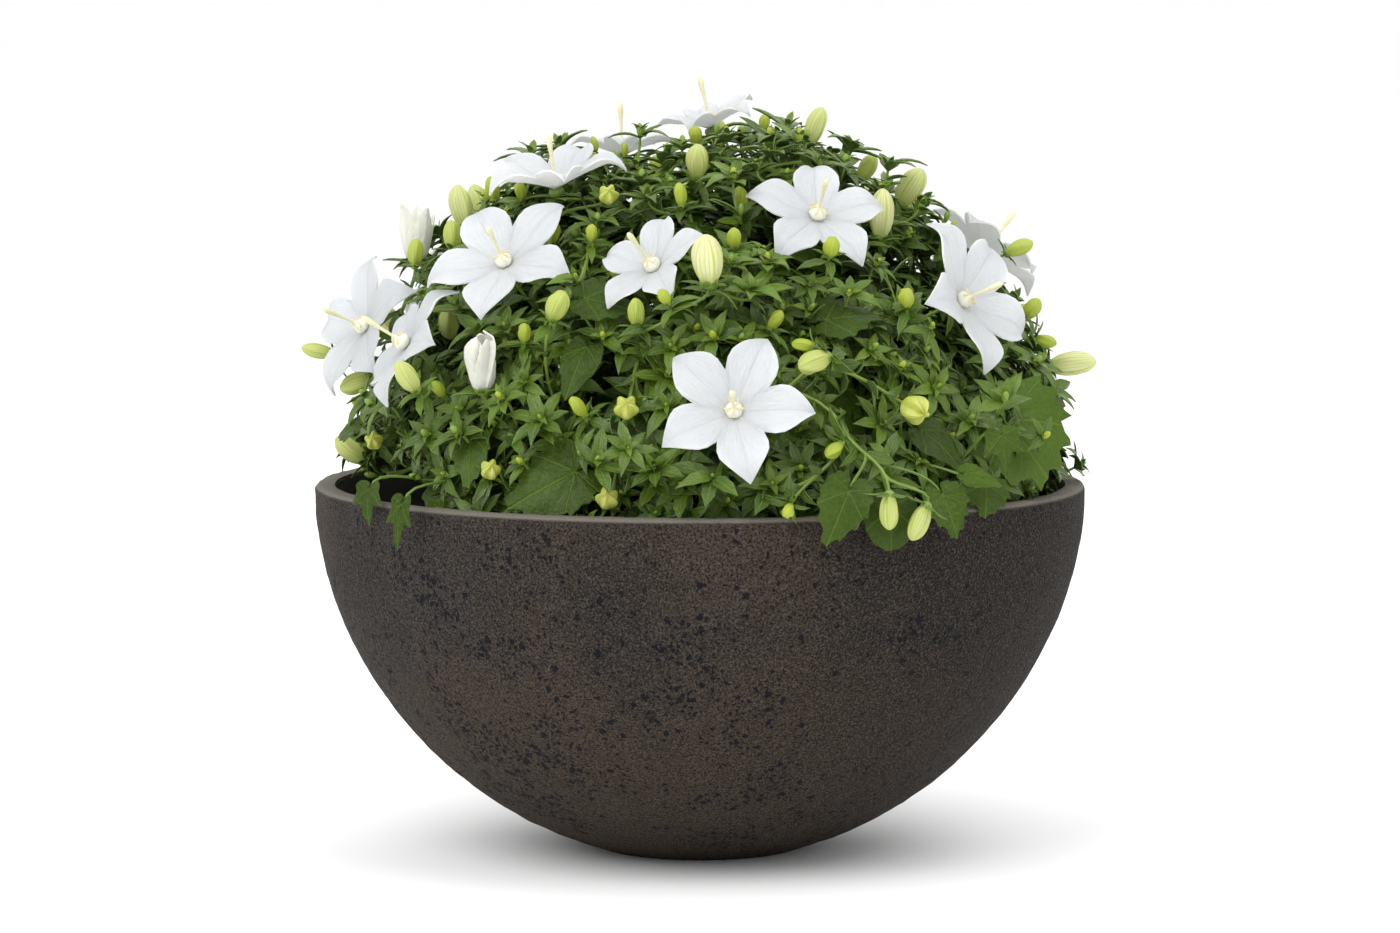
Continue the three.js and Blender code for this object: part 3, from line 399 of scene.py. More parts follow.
def on_spiral(i, count, lowest, rise, start):
    """The azimuth and height of place i on an even spiral. lowest and rise are sines of heights."""
    return i * GOLDEN + start, math.degrees(math.asin(lowest + rise * (i + 0.5) / count))


def standing(place, axis, along=None, turn=0):
    """The frame with +Z on an axis and +Y as near as can be to another way, turned about the axis."""
    z = axis.normalized()
    guide = along if along is not None else Vector((0, 0, 1))
    y = guide - z * guide.dot(z)
    if y.length < TINY:
        y = Vector((1, 0, 0)) - z * z.x
    y.normalize()
    x = y.cross(z)
    basis = Matrix((x, y, z)).transposed().to_4x4()
    return Matrix.Translation(place) @ basis @ Matrix.Rotation(turn, 4, "Z")


def bezier(points, count):
    """Points along a smooth curve between its first and last handle."""
    n = len(points) - 1
    curve = []
    for i in range(count + 1):
        t = i / count
        place = Vector((0, 0, 0))
        for k, point in enumerate(points):
            place += point * (math.comb(n, k) * (1 - t) ** (n - k) * t**k)
        curve.append(place)
    return curve


# Shapes: a form that is modelled once, with its points in millimetres


class Shape:
    """Points, faces and finishes of a form, and each point's place on the surface and its side."""

    def __init__(self, points, corners, sizes, finishes, place):
        self.points, self.corners, self.sizes = points, corners, sizes
        self.finishes, self.place = finishes, place


def start_form(name, add, **settings):
    """Adds a primitive as the only selected object."""
    if bpy.context.object and bpy.context.object.mode != "OBJECT":
        bpy.ops.object.mode_set(mode="OBJECT")
    bpy.ops.object.select_all(action="DESELECT")
    add(**settings)
    bpy.context.object.name = name
    return bpy.context.object


def read(items, key, width=3, kind=float):
    """One value of many items, as an array with a row for each."""
    values = np.zeros(len(items) * width, kind)
    items.foreach_get(key, values)
    return values.reshape(-1, width)


def reshape(obj, move):
    """Moves an object's points by a function of an array of points."""
    vertices = obj.data.vertices
    vertices.foreach_set("co", move(read(vertices, "co")).ravel())
    obj.data.update()


def modify(obj, kind, **settings):
    """Adds a modifier with these settings and applies it."""
    modifier = obj.modifiers.new(kind.title(), kind)
    for key, value in settings.items():
        setattr(modifier, key, value)
    bpy.context.view_layer.objects.active = obj
    bpy.ops.object.modifier_apply(modifier=modifier.name)


def weld(obj, distance=TINY, outward=False):
    """Merges doubled points, and can turn all faces outwards."""
    bpy.context.view_layer.objects.active = obj
    bpy.ops.object.mode_set(mode="EDIT")
    bpy.ops.mesh.select_all(action="SELECT")
    bpy.ops.mesh.remove_doubles(threshold=distance)
    if outward:
        bpy.ops.mesh.normals_make_consistent(inside=False)
    bpy.ops.object.mode_set(mode="OBJECT")


def raise_rings(name, profile, sides):
    """A turned form: a round face, extruded and scaled through the rings of a (radius, height) profile."""
    radius, height = profile[0]
    obj = start_form(
        name,
        bpy.ops.mesh.primitive_circle_add,
        vertices=sides,
        radius=radius,
        fill_type="NGON",
        location=(0, 0, 0),
    )
    reshape(obj, lambda p: p + [0, 0, height])
    bpy.ops.object.mode_set(mode="EDIT")
    bpy.ops.mesh.select_mode(type="FACE")
    bpy.ops.mesh.select_all(action="SELECT")
    for r, z in profile[1:]:
        step = {"value": (0, 0, z - height)}
        bpy.ops.mesh.extrude_region_move(TRANSFORM_OT_translate=step)
        bpy.ops.transform.resize(value=(r / radius, r / radius, 1), center_override=(0, 0, z))
        radius, height = r, z
    bpy.ops.mesh.select_all(action="SELECT")
    bpy.ops.mesh.normals_make_consistent(inside=False)
    bpy.ops.object.mode_set(mode="OBJECT")
    return obj


def take_shape(obj, locate, finish=0):
    """Reads an object as a Shape and removes it. locate gives each point's place on the surface."""
    mesh = obj.data
    points = read(mesh.vertices, "co")
    corners = read(mesh.loops, "vertex_index", 1, int).ravel()
    sizes = read(mesh.polygons, "loop_total", 1, int).ravel()
    side = (read(mesh.vertex_normals, "vector")[:, 2:] > 0) * 1.0
    bpy.data.objects.remove(obj)
    bpy.data.meshes.remove(mesh)
    place = np.concatenate([locate(points), side], axis=1)
    return Shape(points, corners, sizes, np.full(len(sizes), finish), place)


def copies_of(shape, matrices):
    """The points of a shape's copies, as an array of copies by points."""
    m = np.array([[list(row) for row in matrix] for matrix in matrices])
    return np.einsum("kij,nj->kni", m[:, :3, :3], shape.points) + m[:, None, :3, 3]


class Pile:
    """Copies of shapes that make up one piece."""

    def __init__(self):
        self.points, self.places, self.corners, self.sizes, self.finishes = [], [], [], [], []
        self.count = 0

    def add(self, shape, matrices, tones):
        """Adds a copy of a shape for each matrix, each with its tone from 0 to 1."""
        if not len(matrices):
            return
        points = copies_of(shape, matrices)
        copies, size = len(matrices), len(shape.points)
        place = np.empty((copies, size, 4))
        place[:, :, :2] = shape.place[:, :2]
        place[:, :, 2] = np.array(tones)[:, None]
        place[:, :, 3] = shape.place[:, 2]
        shift = self.count + size * np.arange(copies)
        self.points.append(points.reshape(-1, 3))
        self.places.append(place.reshape(-1, 4))
        self.corners.append((shape.corners + shift[:, None]).ravel())
        self.sizes.append(np.tile(shape.sizes, copies))
        self.finishes.append(np.tile(shape.finishes, copies))
        self.count += copies * size

    def add_tube(self, points, radii, sides, tone):
        """Adds a stalk along points."""
        self.add(tube(points, radii, sides, STALK), [Matrix.Identity(4)], [tone])

    def piece(self, name, materials):
        """The piece as an object in metres. Its surface places are the attribute named place."""
        corners, sizes = np.concatenate(self.corners), np.concatenate(self.sizes)
        mesh = bpy.data.meshes.new(name)
        mesh.vertices.add(self.count)
        mesh.vertices.foreach_set("co", np.concatenate(self.points).ravel() * MM)
        mesh.loops.add(len(corners))
        mesh.loops.foreach_set("vertex_index", corners)
        mesh.polygons.add(len(sizes))
        mesh.polygons.foreach_set("loop_start", np.concatenate([[0], np.cumsum(sizes)[:-1]]))
        mesh.polygons.foreach_set("loop_total", sizes)
        mesh.polygons.foreach_set("material_index", np.concatenate(self.finishes))
        place = mesh.attributes.new("place", "FLOAT_COLOR", "POINT")
        place.data.foreach_set("color", np.concatenate(self.places).ravel())
        mesh.update(calc_edges=True)
        for material in materials:
            mesh.materials.append(material)
        obj = bpy.data.objects.new(name, mesh)
        bpy.context.scene.collection.objects.link(obj)
        smooth(obj, below=50)
        return obj


def smooth(obj, below):
    """Shades an object smooth, with creases where faces meet at more than so many degrees."""
    bpy.ops.object.select_all(action="DESELECT")
    obj.select_set(True)
    bpy.context.view_layer.objects.active = obj
    bpy.ops.object.shade_smooth_by_angle(angle=math.radians(below))


def settle(obj, nodes):
    """Attaches a finished piece to its body and hides the solids that it stands for."""
    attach(obj, BODY)
    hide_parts(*nodes)
    return obj


def tube(points, radii, sides, finish):
    """A closed tube along points. Its corners turn as little as they can."""
    points = [Vector(p) for p in points]
    rings, side = [], None
    along = None
    for i, point in enumerate(points):
        before, after = points[max(0, i - 1)], points[min(len(points) - 1, i + 1)]
        tangent = (after - before).normalized()
        if side is None:
            side = tangent.orthogonal().normalized()
        else:
            side = along.rotation_difference(tangent) @ side
        along = tangent
        for k in range(sides):
            turned = Quaternion(tangent, 2 * math.pi * k / sides) @ side
            rings.append(point + turned * radii[i])
    corners, sizes = [], []
    for i in range(len(points) - 1):
        for k in range(sides):
            a, b = i * sides + k, i * sides + (k + 1) % sides
            corners += [a, b, b + sides, a + sides]
            sizes.append(4)
    last = (len(points) - 1) * sides
    corners += list(range(sides))[::-1] + [last + k for k in range(sides)]
    sizes += [sides, sides]
    share = np.repeat(np.linspace(0, 1, len(points)), sides)
    around = np.tile(np.linspace(-1, 1, sides), len(points))
    place = np.stack([around, share, np.ones(len(share))], axis=1)
    return Shape(
        np.array([list(p) for p in rings]),
        np.array(corners),
        np.array(sizes),
        np.full(len(sizes), finish),
        place,
    )


# Forms of the plant


# Narrow leaves, as shares of their length and width
LEAF_ROWS = 6
LEAF_FULLNESS = 0.85  # an exponent: the smaller, the blunter the ends
LEAF_FOOT = 0.02  # half the width at the foot
LEAF_TOOTH = 0.13
LEAF_FOLD = 0.055  # how far the edges stand over the midrib
LEAF_THICKNESS = 0.028
LEAF_WELD = 0.012
LEAF_BENDS = (0.12, 0.32, 0.55)  # the bends of the narrow leaves that all others copy


def leaf_half(t):
    """Half the width of a narrow leaf at a share of its length, as a share of its full width."""
    swell = np.clip(np.sin(math.pi * np.clip(t, 0, 1) ** LEAF_FULLNESS), 0, 1)
    return 0.5 * swell**LEAF_FULLNESS + LEAF_FOOT * (1 - t)


def narrow_leaf(bend):
    """A lance-shaped leaf of unit length and width along +Y, its upper side to +Z."""

    def form(p):
        across, t = p[:, 0], (p[:, 1] + 1) / 2
        tooth = 1 - LEAF_TOOTH * (np.round(t * LEAF_ROWS) % 2) * (np.abs(across) > 0.5)
        half = leaf_half(t) * tooth
        fold = LEAF_FOLD * np.abs(across) * np.sin(math.pi * t) ** 0.5
        lift = bend * (0.9 * t - 1.5 * t**2) + fold
        return np.stack([across * half, t, lift], axis=1)

    obj = start_form("leaf", bpy.ops.mesh.primitive_grid_add, x_subdivisions=2, y_subdivisions=LEAF_ROWS)
    reshape(obj, form)
    weld(obj, LEAF_WELD)
    modify(obj, "SOLIDIFY", thickness=LEAF_THICKNESS, offset=0)
    return take_shape(obj, lambda p: np.stack([across_of(p, leaf_half), p[:, 1]], axis=1), LEAF)


def across_of(points, half):
    """How far points lie from a midrib towards the edge, from -1 to 1."""
    return np.clip(points[:, 0] / np.maximum(half(points[:, 1]), 0.02), -1, 1)


# Outlines of broad leaves: the angle from the point in degrees, and how far the edge is from the joint
LEAF_ANGLES = [0, 8, 20, 38, 60, 82, 104, 126, 146, 158, 166]
HEART = [0.84, 0.75, 0.64, 0.56, 0.52, 0.47, 0.4, 0.35, 0.31, 0.25, 0.13]
OVAL = [0.84, 0.76, 0.62, 0.52, 0.46, 0.39, 0.3, 0.22, 0.17, 0.13, 0.08]
DISC = [0.66, 0.64, 0.61, 0.57, 0.53, 0.5, 0.46, 0.42, 0.38, 0.3, 0.18]
ROUND = [0.6, 0.6, 0.59, 0.57, 0.52, 0.47, 0.42, 0.36, 0.3, 0.22, 0.12]
LOBE_ANGLES = [0, 9, 20, 32, 42, 54, 64, 80, 100, 130, 166]
LOBES = [0.84, 0.66, 0.46, 0.4, 0.46, 0.66, 0.5, 0.4, 0.42, 0.3, 0.12]
JOINT = 0.18  # where the stalk joins a leaf, as a share of its length
TOOTH = [0, 0.6, 1.0, -0.4, -0.5]  # the five steps along the edge that make one tooth
RIB_ANGLE = 38  # degrees from one rib of a broad leaf to the next
BLADE_PUFF = 0.035  # how far the blade rises between ribs, as a share of the leaf's length
BLADE_CUP = 0.16  # how much the sides turn up
BLADE_WAVE = 0.045  # how far the edge waves up and down
BLADE_THICKNESS = 0.014

# Kinds of broad leaf: angles, outline, teeth, bend, and for those in the shade the points round and out
BROAD_KINDS = {
    "heart": (LEAF_ANGLES, HEART, 0.1, 0.2),
    "oval": (LEAF_ANGLES, OVAL, 0.04, 0.35),
    "disc": (LEAF_ANGLES, DISC, 0.13, 0.12),
    "smooth": (LEAF_ANGLES, ROUND, 0.02, 0.3),
    "lobed": (LOBE_ANGLES, LOBES, 0.0, 0.3),
    "inner_heart": (LEAF_ANGLES, HEART, 0.0, 0.3, 12, 2),
    "inner_oval": (LEAF_ANGLES, OVAL, 0.0, 0.4, 12, 2),
}


def broad_leaf(angles, outline, teeth, bend, around=70, rings=8):
    """A broad leaf of unit length and width along +Y, its blade spread round the joint of its stalk."""
    furthest = angles[-1]

    def form(p):
        share = (p[:, 1] + 1) / 2
        angle = furthest * p[:, 0]
        step = np.round((p[:, 0] + 1) / 2 * around)
        tooth = np.choose((step % len(TOOTH)).astype(int), TOOTH)
        size = teeth * (0.8 + 0.4 * np.sin(1.7 * step + 1)) * (np.abs(p[:, 0]) < 0.97)
        radius = np.interp(np.abs(angle), angles, outline) * share * (1 + tooth * size * share**6)
        turn = np.radians(angle)
        x, y = radius * np.sin(turn), JOINT + radius * np.cos(turn)
        rib = np.abs(np.sin(math.pi * np.abs(angle) / RIB_ANGLE))
        puff = BLADE_PUFF * rib * share * (1 - share) + 0.012 * rib * np.sin(6 * math.pi * share)
        cup = BLADE_CUP * x**2 + BLADE_WAVE * share**3 * np.sin(np.radians(3.4 * angle + 50))
        lift = bend * (0.8 * y - 1.3 * y**2) + puff + cup
        return np.stack([x, y, lift], axis=1)

    obj = start_form(
        "leaf", bpy.ops.mesh.primitive_grid_add, x_subdivisions=around, y_subdivisions=rings
    )
    spread = read(obj.data.vertices, "co")[:, :2] * [1, 0.5] + [0, 0.5]
    layer = obj.data.attributes.new("spread", "FLOAT_VECTOR", "POINT")
    layer.data.foreach_set("vector", np.pad(spread, ((0, 0), (0, 1))).ravel())
    reshape(obj, form)
    weld(obj)
    modify(obj, "SOLIDIFY", thickness=BLADE_THICKNESS, offset=0)
    spread = read(obj.data.attributes["spread"].data, "vector")[:, :2]
    return take_shape(obj, lambda p: spread, BROAD)


def round_place(points):
    """A place on a turned form: the angle round it from -1 to 1, and the height."""
    return np.stack([np.arctan2(points[:, 1], points[:, 0]) / math.pi, points[:, 2]], axis=1)


# Buds: half their width as a share of the whole, and the rest as shares of that
BUD_HALF = 0.47
BUD_BLUNTNESS = 0.6  # an exponent: the smaller, the blunter the ends
BUD_RIB = 0.115
BUD_LINE = 0.035
STAR_DEPTH = 0.42  # how far the star's hollows lie under its points


def bud_form(star, segments=30, rings=14, finish=BUD):
    """A bud of unit length and width on +Z: closed with five ribs at star 0, or opening as a star at 1."""

    def form(p):
        angle = np.arctan2(p[:, 1], p[:, 0])
        s = p[:, 2]
        t = (s + 1) / 2
        radius = BUD_HALF * np.clip(1 - np.abs(s) ** 2.5, 0, 1) ** BUD_BLUNTNESS
        radius = radius * (0.98 + 0.1 * s - 0.12 * s**2)
        fold = BUD_RIB * np.cos(PETALS * angle) + BUD_LINE * np.cos(2 * PETALS * angle)
        cusp = 1 - np.abs((PETALS * angle / (2 * math.pi) + 0.5) % 1 - 0.5) * 2
        fold = fold * (1 - star) + star * STAR_DEPTH * (cusp**0.9 - 0.75) * np.clip(1.6 * t, 0, 1)
        twist = 0.5 * t**2 * (1 - star)
        r = radius * (1 + fold)
        x, y = r * np.cos(angle + twist), r * np.sin(angle + twist)
        rise = star * (0.2 * cusp - 0.12) * t * (np.abs(s) < 0.99)
        return np.stack([x, y, t + rise], axis=1)

    obj = start_form("bud", bpy.ops.mesh.primitive_uv_sphere_add, segments=segments, ring_count=rings)
    reshape(obj, form)
    return take_shape(obj, round_place, finish)


def calyx_cup():
    """The small green cup under a bud or flower, of unit length and width on +Z."""
    profile = [(0.12, 0), (0.3, 0.16), (0.46, 0.42), (0.5, 0.7), (0.42, 1)]
    return take_shape(raise_rings("cup", profile, 10), round_place, STALK)


# The outline of a petal, as shares of its length: the distance out, half the width, and how far the edge
# rises over the rib for each share of the cup
PETAL_OUT = np.array([0, 0.4, 0.52, 0.64, 0.75, 0.85, 0.93, 1])
PETAL_HALF = np.array([0, 0.29, 0.318, 0.31, 0.247, 0.16, 0.08, 0])
PETAL_RISE = np.array([0, 0.157, 0.2, 0.225, 0.21, 0.175, 0.1, 0])
PETAL_ANGLE = np.degrees(np.arctan2(PETAL_HALF[1:], PETAL_OUT[1:]))[::-1]
PETAL_RADIUS = np.hypot(PETAL_HALF[1:], PETAL_OUT[1:])[::-1]


def petal_frame(points, reach):
    """For points of a corolla: their petal, and the distance out along it and to its side, by reach."""
    angle = np.degrees(np.arctan2(points[:, 0], points[:, 1]))
    petal = np.round(angle / PETAL_TURN)
    inside = np.radians(angle - PETAL_TURN * petal)
    radius = np.hypot(points[:, 0], points[:, 1]) / reach
    return petal.astype(int) % PETALS, radius * np.cos(inside), radius * np.sin(inside)


def across_petal(out, side):
    """How far points lie from a petal's middle towards its edge, from -1 to 1."""
    half = np.maximum(np.interp(out, PETAL_OUT, PETAL_HALF), 1e-3)
    return np.clip(side / half, -1, 1)


def corolla_form(flower):
    """An open flower's corolla on +Z with a petal's point on +Y, in its true size."""
    reach, cup = flower["reach"], flower["cup"]
    petals = [flower["number"] * 7 + p for p in range(PETALS)]
    tilt = PETAL_TILT * (drawn_each(petals, 11) - 0.5)
    roll = PETAL_ROLL * (drawn_each(petals, 12) - 0.5)
    phase = drawn_each(petals, 13)
    curl = PETAL_CURL[0] + PETAL_CURL[1] * drawn_each(petals, 14)

    def form(p):
        step = (p[:, 0] + 1) / 2 * PETALS
        petal = np.floor(step)
        u = 2 * (step - petal) - 1
        inside = PETAL_TURN / 2 * np.sign(u) * np.abs(u) ** 1.45
        rim = np.interp(np.abs(inside), PETAL_ANGLE, PETAL_RADIUS)
        radius = reach * rim * ((p[:, 1] + 1) / 2)
        angle = np.radians(PETAL_TURN * petal + inside)
        flat = np.stack([radius * np.sin(angle), radius * np.cos(angle), np.zeros(len(p))], axis=1)
        return lifted(flat)

    def lifted(points):
        """Raises the flat star to its cup, with what is each petal's own growing towards its tip."""
        petal, out, side = petal_frame(points, reach)
        edge = across_petal(out, side)
        own = np.clip((out - 0.2) / 0.4, 0, 1) ** 2 * np.clip(1.6 - 1.6 * np.abs(side) / 0.36, 0, 1)
        rise = cup * (np.maximum(out, 0) ** 0.75 + np.interp(out, PETAL_OUT, PETAL_RISE) * edge**2)
        recurve = curl[petal] * np.clip((out - 0.7) / 0.3, 0, 1) ** 2
        crease = PETAL_CREASE * np.exp(-((side / 0.03) ** 2)) * np.clip(out * 3, 0, 1)
        wave = PETAL_WAVE * edge**2 * np.sin(2 * math.pi * (2.2 * out + phase[petal])) * own
        bulge = own * (tilt[petal] * out + roll[petal] * side)
        points[:, 2] = reach * (rise - recurve - crease + wave + bulge)
        return points

    obj = start_form("corolla", bpy.ops.mesh.primitive_grid_add, x_subdivisions=90, y_subdivisions=15)
    reshape(obj, form)
    weld(obj, PETAL_WELD, outward=True)
    modify(obj, "SOLIDIFY", thickness=PETAL_THICKNESS, offset=0)

    def locate(points):
        _, out, side = petal_frame(points, reach)
        return np.stack([across_petal(out, side), out], axis=1)

    return take_shape(obj, locate)


# The half widths of bells, by the height that each is at, and how tall their petals are
BELL_HEIGHTS = [0, 0.06, 0.2, 0.38, 0.6, 0.78, 0.9, 1]
PLEATED = [0.3, 0.48, 0.64, 0.76, 0.86, 0.92, 0.98, 1.06]
FOLDED = [0.38, 0.62, 0.8, 0.9, 1.0, 0.98, 0.84, 0.3]
BELL_PETALS = np.array([1.0, 0.9, 0.97, 0.84, 0.94, 1.0])


def bell_form(bell):
    """A flower about to open, on +Z: an open bell with five points, or one whose petals overlap."""
    long, half, folded = bell["long"], bell["wide"] / 2, bell["folded"]
    width = FOLDED if folded else PLEATED
    depth = 0.16 if folded else 0.36

    def form(p):
        angle = math.pi * p[:, 0]
        t = (p[:, 1] + 1) / 2
        step = (angle * PETALS / (2 * math.pi)) % PETALS
        lobe = np.abs(step % 1 - 0.5) * 2
        tall = BELL_PETALS[np.floor(step).astype(int)]
        tall = tall + (1 - tall) * lobe**4
        height = t * (tall - depth * lobe ** (2 if folded else 1.2))
        radius = half * np.interp(height, BELL_HEIGHTS, width)
        if folded:
            edge = (step + 1.1 * height) % 1
            flap = 0.42 * (1 - edge) ** 1.1
            r = radius * (1 - flap * np.clip(height * 2.4, 0, 1))
            twisted = angle + 0.25 * height
        else:
            ridge = 0.07 * np.exp(-((lobe / 0.14) ** 2)) - 0.07 * lobe**2
            curl = 0.16 * np.sin(3.7 * np.floor(step) + 1) * np.clip((height - 0.6) / 0.4, 0, 1) ** 2
            r = radius * (1 + (ridge + curl) * (0.3 + height))
            twisted = angle
        lean = 0.03 * long * height * np.sin(angle + 1)
        return np.stack([r * np.sin(twisted), r * np.cos(twisted), long * height + lean], axis=1)

    obj = start_form("bell", bpy.ops.mesh.primitive_grid_add, x_subdivisions=110, y_subdivisions=22)
    reshape(obj, form)
    weld(obj, PETAL_WELD, outward=True)
    modify(obj, "SOLIDIFY", thickness=BELL_THICKNESS, offset=-1)
    shape = take_shape(obj, lambda p: round_place(p / [1, 1, long]))
    shape.place[:, 2] = 1
    return shape


# Where things grow


def node_points(name):
    """The points of a solid, each once, in millimetres."""
    points = read(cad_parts[name].data.vertices, "co")
    return np.unique(np.round(points / MM, 3), axis=0)


def read_flower(number):
    """An open flower's place, way, petal length and cup, measured on its corolla and pistil."""
    corolla, pistil = node_points(f"corolla_{number:02d}"), node_points(f"pistil_{number:02d}")
    apart = np.linalg.norm(pistil[:, None] - pistil[None], axis=2)
    ends = pistil[list(np.unravel_index(apart.argmax(), apart.shape))]
    near = np.linalg.norm(ends - corolla.mean(axis=0), axis=1).argmin()
    foot, tip = Vector(ends[near]), Vector(ends[1 - near])
    axis = (tip - foot).normalized()
    throat = foot - axis * PISTIL_LIFT
    away = np.linalg.norm(corolla - np.array(throat), axis=1)
    points = [Vector(p) - throat for p in corolla[away.argsort()[-PETALS:]]]
    rises = [p.dot(axis) for p in points]
    reaches = [(p - axis * rise).length for p, rise in zip(points, rises)]
    reach = sum(reaches) / PETALS
    return {
        "kind": "flower",
        "middle": throat,
        "foot": throat - axis * CALYX_BELOW,
        "axis": axis,
        "matrix": standing(throat, axis, points[0]),
        "reach": reach,
        "cup": sum(rises) / PETALS / reach,
        "clear": reach * FLOWER_CLEAR,
        "number": number,
        "in_view": number in FLOWERS_IN_VIEW,
    }


def list_heads():
    """Every head: what a stalk ends in, as a flower, bell, bud or rosette, with its foot and axis."""
    heads = [read_flower(n + 1) for n in range(OPEN_FLOWERS)]
    for bell in BELLS:
        foot = from_picture(*bell["base"], bell["level"])
        axis = leaning(bell["tip"], bell["towards"])
        place = {"foot": foot, "axis": axis, "middle": foot + axis * bell["long"] / 2}
        heads.append({**bell, **place, "kind": "bell", "clear": BELL_CLEAR, "in_view": True})
    for x, y, tip, towards, long, wide, *rest in BUDS:
        middle = from_picture(x, y, *(rest or [BUD_LEVEL]))
        add_bud(heads, middle, leaning(tip, towards), long, wide, True)
    add_back_buds(heads)
    for i, (x, y, tip, towards, size, level) in enumerate(LARGE_ROSETTES):
        add_rosette(heads, from_picture(x, y, level), leaning(tip, towards), size, i, 0)
    shields = list_shields(heads)
    for layer, settings in enumerate(ROSETTE_LAYERS):
        add_rosettes(heads, shields, layer, *settings)
    for i, head in enumerate(heads):
        head["order"] = i
    return heads


def add_bud(heads, middle, axis, long, wide, in_view):
    """Adds a bud. No leaf may hide one that is in view."""
    head = {"kind": "bud", "foot": middle - axis * long / 2, "axis": axis, "middle": middle}
    heads.append({**head, "clear": BUD_CLEAR, "long": long, "wide": wide, "in_view": in_view})


def add_back_buds(heads):
    """Buds stand in rings on the far side, where no petals are over or close under them."""
    for ring, (height, count, start, end, length, width) in enumerate(BACK_BUDS):
        for i in range(count):
            azimuth = start + (end - start) * (i + 0.5) / count
            axis = direction(azimuth, height + BACK_BUD_RISE)
            long = length * varied(i + 10 * ring, 1, 0.75, 0.45)
            foot = on_dome(azimuth, height, BACK_BUD_LEVEL)
            if not over_petals(heads, [foot + axis * long * share for share in (0, 0.5, 1)], 5):
                add_bud(heads, foot + axis * long / 2, axis, long, width * long / length, False)


def add_rosette(heads, foot, axis, size, turn, layer):
    """Adds a rosette of a layer of the dome."""
    head = {"kind": "rosette", "foot": foot, "axis": axis, "middle": foot, "in_view": False}
    heads.append({**head, "size": size, "turn": turn, "layer": layer})


def over_petals(heads, places, below):
    """Whether a place lies over the petals of an open flower, or less than so many mm below them."""
    for head in heads:
        if head["kind"] == "flower":
            inverse = head["matrix"].inverted()
            for place in places:
                local = inverse @ place
                out = math.hypot(local.x, local.y)
                over = local.z - head["cup"] * out * PETAL_LIFT
                if out < head["reach"] * PETAL_MARGIN and -below < over < ABOVE_PETALS:
                    return True
    return False


def has_room(foot, rivals, apart, more):
    """Whether a rosette's foot is so far apart from other rosettes, and clear of the other heads."""
    for head in rivals:
        least = apart if head["kind"] == "rosette" else head["clear"] + more
        if (head["middle"] - foot).length <= least:
            return False
    return True


def unevenness(place):
    """A smooth wander from -1 to 1 over the plant, for clumps and hollows."""
    x, y, z = place
    return (math.sin(x / 11 + 1.3 * math.sin(z / 17)) + math.sin(z / 9.5 + y / 14 + 2)) / 2


def add_rosettes(heads, shields, layer, tries, apart, lowest, spread):
    """Rosettes go where a spiral over a layer of the dome finds room and nothing in view is hidden."""
    before = len(heads)
    under = layer == UNDER_LAYER
    for i in range(tries):
        azimuth, height = on_spiral(i, tries, 0.03, 0.97, 40 * layer)
        swell = CLUMPS * (1 if math.cos(math.radians(azimuth)) > 0.2 else 2)
        level = lowest + spread * drawn(i, 2 + 20 * layer) ** 1.4
        foot = on_dome(azimuth, height, level + swell * unevenness(on_dome(azimuth, height, 0.9)))
        lean = swung(i, 3 + 20 * layer, ROSETTE_LEAN)
        axis = direction(azimuth + lean, min(88, height + ROSETTE_UP * drawn(i, 4 + 20 * layer)))
        if not has_room(foot, heads[before:] if under else heads, apart, CLEAR_MORE[layer]):
            continue
        if layer == 1 and unevenness(foot) < HOLLOW_BELOW:
            continue
        if math.hypot(foot.x, foot.y) > INNER_RADIUS - ROSETTE_OFF_WALL and foot.z < BOWL_HEIGHT + 2:
            continue
        if over_petals(heads, [foot, foot + axis * 2.5], 1.5) or hidden_by(np.array([[foot]]), shields)[0]:
            continue
        size = varied(i, 5 + 20 * layer, 0.85, 0.5) * (1.25 if under else 1)
        add_rosette(heads, foot, axis, size, 2 * math.pi * drawn(i, 6 + 20 * layer), layer)


def list_stems():
    """The leafy stems: each leaves the soil at its root and bends out to where its stalks begin."""
    stems = []
    for k in range(STEMS):
        azimuth, height = on_spiral(k, STEMS, 0.14, 0.84, 20)
        out = direction(azimuth, 0) * STEM_SPREAD * math.cos(math.radians(height))
        root = Vector((out.x, out.y, SOIL_TOP - HOLE_DEPTH))
        end = CROWN.lerp(on_dome(azimuth, height, 1), STEM_REACH)
        end.z = max(end.z, SOIL_TOP + STEM_RISE)
        bend = Vector((out.x * 1.15, out.y * 1.15, SOIL_TOP + 0.55 * (end.z - SOIL_TOP)))
        stems.append(
            {
                "name": f"leafy_stem_{k + 1:02d}",
                "towards": (end - CROWN).normalized(),
                "branches": [bezier([root, bend, end], 14)],
                "heads": [],
                "leaves": [],
            }
        )
    return stems


def nearest_stem(stems, place):
    """The stem that leans towards a place more than the others do."""
    way = (place - CROWN).normalized()
    return max(stems, key=lambda stem: stem["towards"].dot(way))


def along_line(line, share):
    """The place and the way at a share of a line of points."""
    step = share * (len(line) - 1)
    i = min(len(line) - 2, int(step))
    return line[i].lerp(line[i + 1], step - i), (line[i + 1] - line[i]).normalized()


def stalk_start(stem, foot):
    """Where a stalk leaves its stem or an earlier stalk: near to its head, and with little turn."""
    best, start = None, None
    for b, branch in enumerate(stem["branches"]):
        for share in STALK_FORKS if b else STEM_FORKS:
            place, tangent = along_line(branch, share)
            way = foot - place
            if way.length < TINY:
                continue
            cost = way.length * (1.7 - 0.7 * way.normalized().dot(tangent))
            cost += 60 if way.length < STALK_SHORTEST else 0
            if best is None or cost < best:
                best, start = cost, (place, tangent)
    return start


